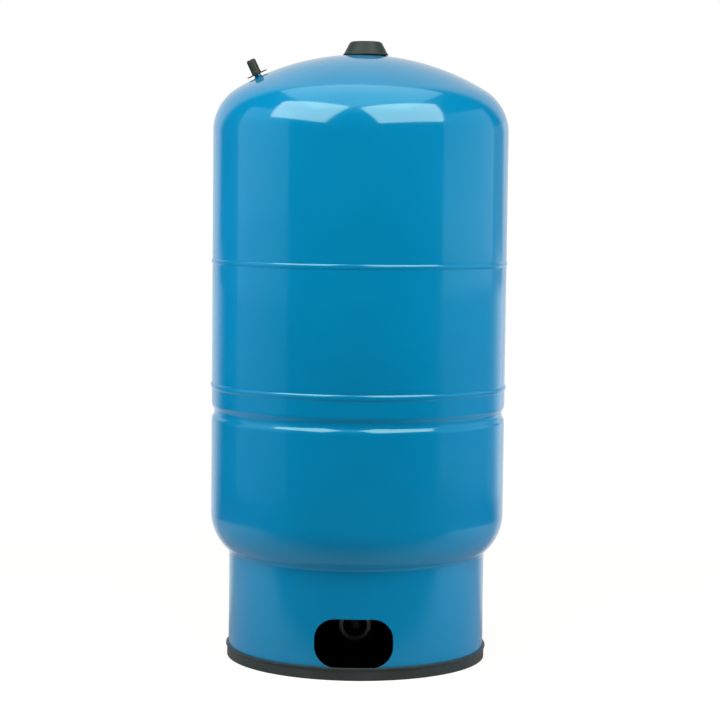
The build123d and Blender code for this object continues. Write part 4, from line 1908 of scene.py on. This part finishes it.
        fit, rim = 0.1 * MM, 0.45 * MM
        bore, top = self.neck + fit, self.foot_length + self.washer_wall
        disc = rounded(
            [
                (bore, self.foot_length, KEEN),
                (self.washer, self.foot_length, rim),
                (self.washer, top, rim),
                (bore, top, KEEN),
            ],
            steps=5,
        )
        washer = turned_piece("air_valve_washer", spaced(disc, 2.0 * MM), self.axis, segments=128)
        settle(washer, CAP_PLASTIC, Slot.CAP, Body.TANK, "valve_washer")

        settle(self.cap(), CAP_PLASTIC, Slot.CAP, Body.CAP, "valve_cap")
        dress_node("valve_cap_seal", SEAL_RUBBER)
        dress_node("valve_core_barrel", BRASS)
        dress_node("valve_core_gasket", SEAL_RUBBER)
        dress_node("valve_core_pin", BRASS)
        dress_node("valve_core_pin_seal", SEAL_RUBBER)
        dress_node("valve_core_spring", MILD_STEEL)


WARM = (1.3, 1.0, 0.86)
COOL = (0.84, 1.0, 0.98)
WHITE = (1.0, 1.0, 1.0)
FRONT = (0.0, -1.0, 0.0)
LEFT_SIDE = -78.0
RIGHT_SIDE = 92.0
PANEL_DISTANCE = 1.6


class Seen(Enum):
    """What a lamp does: lights dull surfaces, is mirrored by gloss, or both."""

    BOTH = (True, True)
    LIGHT = (True, False)
    IMAGE = (False, True)


@dataclass(frozen=True)
class Softbox:
    """Rectangular studio lamp.

    Args:
        name: The lamp's name.
        aim: Point that its middle faces.
        azimuth_degrees: Its side as seen from there, from the front (-y) towards +x.
        elevation_degrees: How high it stands over the point.
        distance: How far it is from the point.
        size: Its width and height.
        brightness: Radiance of its face.
        swing_degrees: How far its left end swings away from the point, about its upright axis.
        colour: Colour of its light.
        seen: What it does.
    """

    name: str
    aim: Triple
    azimuth_degrees: float
    elevation_degrees: float
    distance: float
    size: tuple[float, float]
    brightness: float
    swing_degrees: float = 0.0
    colour: Colour = WHITE
    seen: Seen = Seen.BOTH

    def build(self) -> None:
        """Power = brightness × pi × area, which is how a lamp's power is shared out."""
        azimuth, elevation = math.radians(self.azimuth_degrees), math.radians(self.elevation_degrees)
        level = math.cos(elevation)
        away = Vector((math.sin(azimuth) * level, -math.cos(azimuth) * level, math.sin(elevation)))
        data = bpy.data.lights.new(self.name, "AREA")
        data.shape = "RECTANGLE"
        data.size, data.size_y = self.size
        data.color = self.colour
        data.energy = self.brightness * math.pi * self.size[0] * self.size[1]
        lamp = bpy.data.objects.new(self.name, data)
        lamp.location = Vector(self.aim) + away * self.distance
        facing = (-away).to_track_quat("-Z", "Y")
        lamp.rotation_mode = "QUATERNION"
        lamp.rotation_quaternion = facing @ Quaternion((0.0, 1.0, 0.0), math.radians(self.swing_degrees))
        lamp.visible_camera = False
        lamp.visible_diffuse, lamp.visible_glossy = self.seen.value
        bpy.context.scene.collection.objects.link(lamp)
        LOG.info("softbox %s at %s", self.name, tuple(round(part, 2) for part in lamp.location))


def side_panel(
    name: str, middle: float, azimuth_degrees: float, size: tuple[float, float], brightness: float
) -> Softbox:
    """Upright cool panel that faces the tank's axis.

    Args:
        name: The lamp's name.
        middle: Height of its middle.
        azimuth_degrees: Its side, from the front towards +x.
        size: Its width and height.
        brightness: Radiance of its face.

    Returns:
        The lamp.
    """
    aim = (0.0, 0.0, middle)
    return Softbox(name, aim, azimuth_degrees, 0.0, PANEL_DISTANCE, size, brightness, colour=COOL)


@dataclass(frozen=True)
class Viewpoint:
    """Camera at the photograph's viewing angle.

    Args:
        distance: From the tank's axis.
        eye_height: Height of the lens.
        pitch: How far it looks down.
        roll: How far its picture is turned.
        pan: How far it looks past the axis.
        bearing_degrees: How far it stands round from the front.
        focal_pixels: Focal length in pixels of the photograph.
        frame_pixels: Width of the photograph.
        sensor_mm: Width of the sensor.
    """

    distance: float = 3.0149
    eye_height: float = 0.6388
    pitch: float = 0.08024
    roll: float = 0.0112
    pan: float = 0.00068
    bearing_degrees: float = 0.77
    focal_pixels: float = 2265.8
    frame_pixels: float = 720.0
    sensor_mm: float = 36.0

    def build(self) -> None:
        """Sets the camera's axes from pan, pitch and roll, then turns it round the tank."""
        pan_cos, pan_sin = math.cos(self.pan), math.sin(self.pan)
        pitch_cos, pitch_sin = math.cos(self.pitch), math.sin(self.pitch)
        level = Vector((pan_cos, -pan_sin, 0.0))
        ahead = Vector((pan_sin * pitch_cos, pan_cos * pitch_cos, -pitch_sin))
        upward = Vector((pan_sin * pitch_sin, pan_cos * pitch_sin, pitch_cos))
        right = level * math.cos(self.roll) + upward * math.sin(self.roll)
        up = upward * math.cos(self.roll) - level * math.sin(self.roll)
        axes = Matrix((right, up, -ahead)).transposed().to_4x4()
        spin = Matrix.Rotation(math.radians(self.bearing_degrees), 4, "Z")
        data = bpy.data.cameras.new("photo_camera")
        data.sensor_width = self.sensor_mm
        data.lens = self.focal_pixels * self.sensor_mm / self.frame_pixels
        camera = bpy.data.objects.new("photo_camera", data)
        camera.matrix_world = spin @ Matrix.Translation((0.0, -self.distance, self.eye_height)) @ axes
        bpy.context.scene.collection.objects.link(camera)
        bpy.context.scene.camera = camera


@dataclass(frozen=True)
class Glow:
    """Part of the surroundings that is bright round a direction.

    Args:
        direction: What the looked-in direction is multiplied with, part by part, and summed.
        start: Sum where it starts to be bright.
        end: Sum where it is fully bright.
        radiance: Its radiance where it is fully bright, in red, green and blue.
    """

    direction: Triple
    start: float
    end: float
    radiance: Colour


@dataclass(frozen=True)
class Floor:
    """Level floor: white with a soft shadow in the picture, and darker to the tank's gloss.

    The tank mirrors it pale by its sides, and dark in front and far to the sides. Inside the
    stand it is a dark disc of painted shade, in the picture and in gloss. Behind the tank, it
    mirrors the backdrop's white. Each pair of edges holds where a change starts and where it
    ends. A bearing is the front's share of the way to a place: 1 in front of the tank, 0
    beside it and -1 behind it.

    Args:
        half: Half its width.
        pale: What gloss mirrors by the tank's sides.
        dark: What gloss mirrors where it is dark, and the painted shade inside the stand.
        bounce: Its colour for the light that it throws on dull surfaces.
        shown_dull: Part of its colour in the picture that takes the lamps' shadow.
        shown_glow: Part of its white in the picture that no shadow reaches.
        painted_shade_radius: Radius of the dark disc painted inside the stand as its shade.
        painted_shade_blend: Width of that disc's soft edge.
        white_edges: Distances between which it turns plain white in the picture.
        front_edges: Distances to the front between which its mirror image turns dark.
        round_edges: Distances all round between which its mirror image turns dark.
        wedge_edges: Bearings between which the wedge behind the tank, which stays pale, ends.
        backdrop: Share of white that gloss mirrors behind the tank.
        backdrop_reach: Distances between which that white comes up.
        backdrop_edges: Bearings between which that white comes up.
    """

    half: float = 12.0
    pale: Colour = (0.27, 0.27, 0.27)
    dark: Colour = (0.02, 0.02, 0.02)
    bounce: Colour = (0.62, 0.62, 0.62)
    shown_dull: Colour = (0.14, 0.14, 0.14)
    shown_glow: float = 0.8
    painted_shade_radius: float = 0.1685
    painted_shade_blend: float = 2 * MM
    white_edges: tuple[float, float] = (0.3, 1.2)
    front_edges: tuple[float, float] = (0.2, 0.42)
    round_edges: tuple[float, float] = (1.0, 1.4)
    wedge_edges: tuple[float, float] = (-0.8, -0.72)
    backdrop: float = 0.9
    backdrop_reach: tuple[float, float] = (0.0, 0.5)
    backdrop_edges: tuple[float, float] = (-0.55, -0.86)

    def mirrored(
        self, board: NodeBoard, lit: Socket, distance: Socket, ahead: Socket, bearing: Socket
    ) -> Socket:
        """What gloss mirrors of it, and what lights the tank from below.

        Args:
            board: The floor's node tree.
            lit: 0 on the painted shade inside the stand and 1 outside.
            distance: How far a place is from the tank's axis.
            ahead: How far it lies to the front.
            bearing: The front's share of the way to it.

        Returns:
            The shader.
        """
        far = board.ramp(distance, *self.round_edges)
        aside = board.worked("MINIMUM", far, board.ramp(bearing, *self.wedge_edges))
        outside = board.worked("MAXIMUM", board.ramp(ahead, *self.front_edges), aside)
        # Inside the stand this darkness is painted shade; in front and far off the floor is dim to the gloss.
        darkness = board.worked("MAXIMUM", board.worked("SUBTRACT", 1.0, lit), outside)
        colour = board.shaded(darkness, self.pale, self.dark)
        rays = board.add("ShaderNodeLightPath").outputs
        bounced = board.worked("MULTIPLY", rays["Is Diffuse Ray"], lit)
        return board.diffuse(board.shaded(bounced, colour, self.bounce))

    def shown(self, board: NodeBoard, lit: Socket, distance: Socket) -> Socket:
        """What the picture shows of it: nearly white with a shadow, then plain white.

        Args:
            board: The floor's node tree.
            lit: 0 on the painted shade inside the stand and 1 outside.
            distance: How far a place is from the tank's axis.

        Returns:
            The shader.
        """
        # Inside the stand the picture shows the dark of the painted shade, with no white glow.
        shadowed = board.diffuse(board.shaded(lit, self.dark, self.shown_dull))
        glow = board.add("ShaderNodeEmission")
        board.join(board.worked("MULTIPLY", lit, self.shown_glow), glow.inputs["Strength"])
        near = board.summed(shadowed, glow.outputs[0])
        white = board.add("ShaderNodeEmission").outputs[0]
        return board.mixed(board.ramp(distance, *self.white_edges), near, white)

    def material(self) -> bpy.types.Material:
        """Shows each kind of ray its own side of the floor.

        Returns:
            The floor's material.
        """
        material = bpy.data.materials.new("pale_floor")
        material.use_nodes = True
        board = NodeBoard(material.node_tree)
        board.tree.nodes.remove(board.tree.nodes["Principled BSDF"])
        place = board.add("ShaderNodeTexCoord").outputs["Object"]
        length = board.add("ShaderNodeVectorMath", operation="LENGTH")
        board.join(place, length.inputs[0])
        distance = length.outputs["Value"]
        way = board.add("ShaderNodeVectorMath", operation="NORMALIZE")
        board.join(place, way.inputs[0])
        bearing = board.along(way.outputs["Vector"], FRONT)
        # lit is 0 on the disc of painted shade inside the stand and 1 outside it.
        lit = board.ramp(distance, self.painted_shade_radius, self.painted_shade_radius + self.painted_shade_blend)
        mirrored = self.mirrored(board, lit, distance, board.along(place, FRONT), bearing)

        reach = board.ramp(distance, *self.backdrop_reach)
        behind = board.worked("MULTIPLY", board.ramp(bearing, *self.backdrop_edges), reach)
        rays = board.add("ShaderNodeLightPath").outputs
        glossy = board.worked("MULTIPLY", rays["Is Glossy Ray"], behind)
        backdrop = board.worked("MULTIPLY", glossy, self.backdrop)
        choice = board.worked("MAXIMUM", board.in_picture(rays), backdrop)
        surface = board.mixed(choice, mirrored, self.shown(board, lit, distance))
        board.join(surface, board.tree.nodes["Material Output"].inputs["Surface"])
        return material

    def build(self) -> None:
        """One level square under the tank."""
        mesh = bpy.data.meshes.new("floor")
        signs = ((-1, -1), (1, -1), (1, 1), (-1, 1))
        corners = [(x * self.half, y * self.half, 0.0) for x, y in signs]
        mesh.from_pydata(corners, [], [(0, 1, 2, 3)])
        mesh.materials.append(self.material())
        plane = bpy.data.objects.new("floor", mesh)
        bpy.context.scene.collection.objects.link(plane)


@dataclass(frozen=True)
class Surroundings:
    """World: white in the picture, and for mirrors and light a dim room with its glows.

    Args:
        level: Strength of the dim room.
        glows: Its bright parts.
    """

    level: float = 0.03
    glows: tuple[Glow, ...] = (
        Glow((0.0, -0.174, 0.985), 0.68, 0.95, (1.0, 1.0, 0.8)),
        Glow((-0.08, 1.0, 0.4), 0.74, 0.88, (0.82, 0.82, 0.82)),
    )

    def build(self) -> None:
        """Adds the glows to the room and hides both from the camera."""
        world = bpy.data.worlds.new("studio")
        world.use_nodes = True
        bpy.context.scene.world = world
        board = NodeBoard(world.node_tree)
        direction = board.add("ShaderNodeTexCoord").outputs["Generated"]
        room = board.add("ShaderNodeBackground")
        room.inputs["Strength"].default_value = self.level
        lit = room.outputs[0]
        for glow in self.glows:
            bright = board.add("ShaderNodeBackground")
            bright.inputs["Color"].default_value = (*glow.radiance, 1.0)
            share = board.ramp(board.along(direction, glow.direction), glow.start, glow.end)
            board.join(share, bright.inputs["Strength"])
            lit = board.summed(lit, bright.outputs[0])
        white = board.tree.nodes["Background"]
        white.inputs["Color"].default_value = (*WHITE, 1.0)
        rays = board.add("ShaderNodeLightPath").outputs
        choice = board.mixed(board.in_picture(rays), lit, white.outputs[0])
        board.join(choice, board.tree.nodes["World Output"].inputs["Surface"])


@dataclass(frozen=True)
class Studio:
    """Floor, surroundings, softboxes and camera.

    Args:
        softboxes: Every lamp.
    """

    softboxes: tuple[Softbox, ...] = (
        Softbox("left_softbox", (-0.07, -0.17, 0.72), -55.3, 38.6, 1.2, (1.25, 0.83), 8.0, 24.0, WARM),
        Softbox("right_softbox", (0.06, -0.18, 0.71), 42.9, 37.6, 1.2, (1.33, 0.9), 8.0, -7.0, WARM),
        Softbox("ceiling_panel", (0.0, 0.0, 0.8), 0.0, 80.0, 1.5, (2.2, 2.1), 1.9, 0.0, COOL, Seen.IMAGE),
        side_panel("left_panel_top", 1.45, LEFT_SIDE, (1.5, 0.6), 1.0),
        side_panel("left_panel_high", 0.865, LEFT_SIDE, (1.5, 0.57), 0.75),
        side_panel("left_panel_middle", 0.51, LEFT_SIDE, (1.5, 0.14), 0.5),
        side_panel("left_panel_low", 0.22, LEFT_SIDE, (1.5, 0.44), 0.24),
        side_panel("right_panel_top", 1.255, RIGHT_SIDE, (1.7, 0.7), 0.7),
        side_panel("right_panel_high", 0.6875, RIGHT_SIDE, (1.7, 0.435), 0.8),
        side_panel("right_panel_low", 0.245, RIGHT_SIDE, (1.7, 0.45), 0.2),
        side_panel("right_panel_back", 0.45, 133.0, (0.86, 0.9), 0.3),
        Softbox("left_fill", (0.0, 0.0, 0.5), -85.0, 5.0, 1.1, (1.0, 0.8), 4.6, seen=Seen.LIGHT),
        Softbox("right_fill", (0.0, 0.0, 0.35), 85.0, 0.0, 1.1, (1.0, 0.6), 5.5, seen=Seen.LIGHT),
    )

    def build(self) -> None:
        """Sets the stage round the tank."""
        bpy.context.scene.view_settings.view_transform = "Standard"
        Floor().build()
        Surroundings().build()
        for softbox in self.softboxes:
            softbox.build()
        Viewpoint().build()


def main() -> None:
    """Builds the studio, then each sub-assembly from the tank outwards."""
    logging.basicConfig(level=logging.INFO, format="%(message)s")
    Studio().build()
    form = TankForm.from_frame()
    PressureShell(form).build()
    StandAssembly(form).build()
    Outlet(form).build()
    CrownFitting(form).build()
    AirValve(form).build()
    dress_node("hoop_ring", MILD_STEEL)
    dress_node("liner", LINER_PLASTIC)
    dress_node("diaphragm", DIAPHRAGM_RUBBER)


if __name__ == "__main__":
    main()
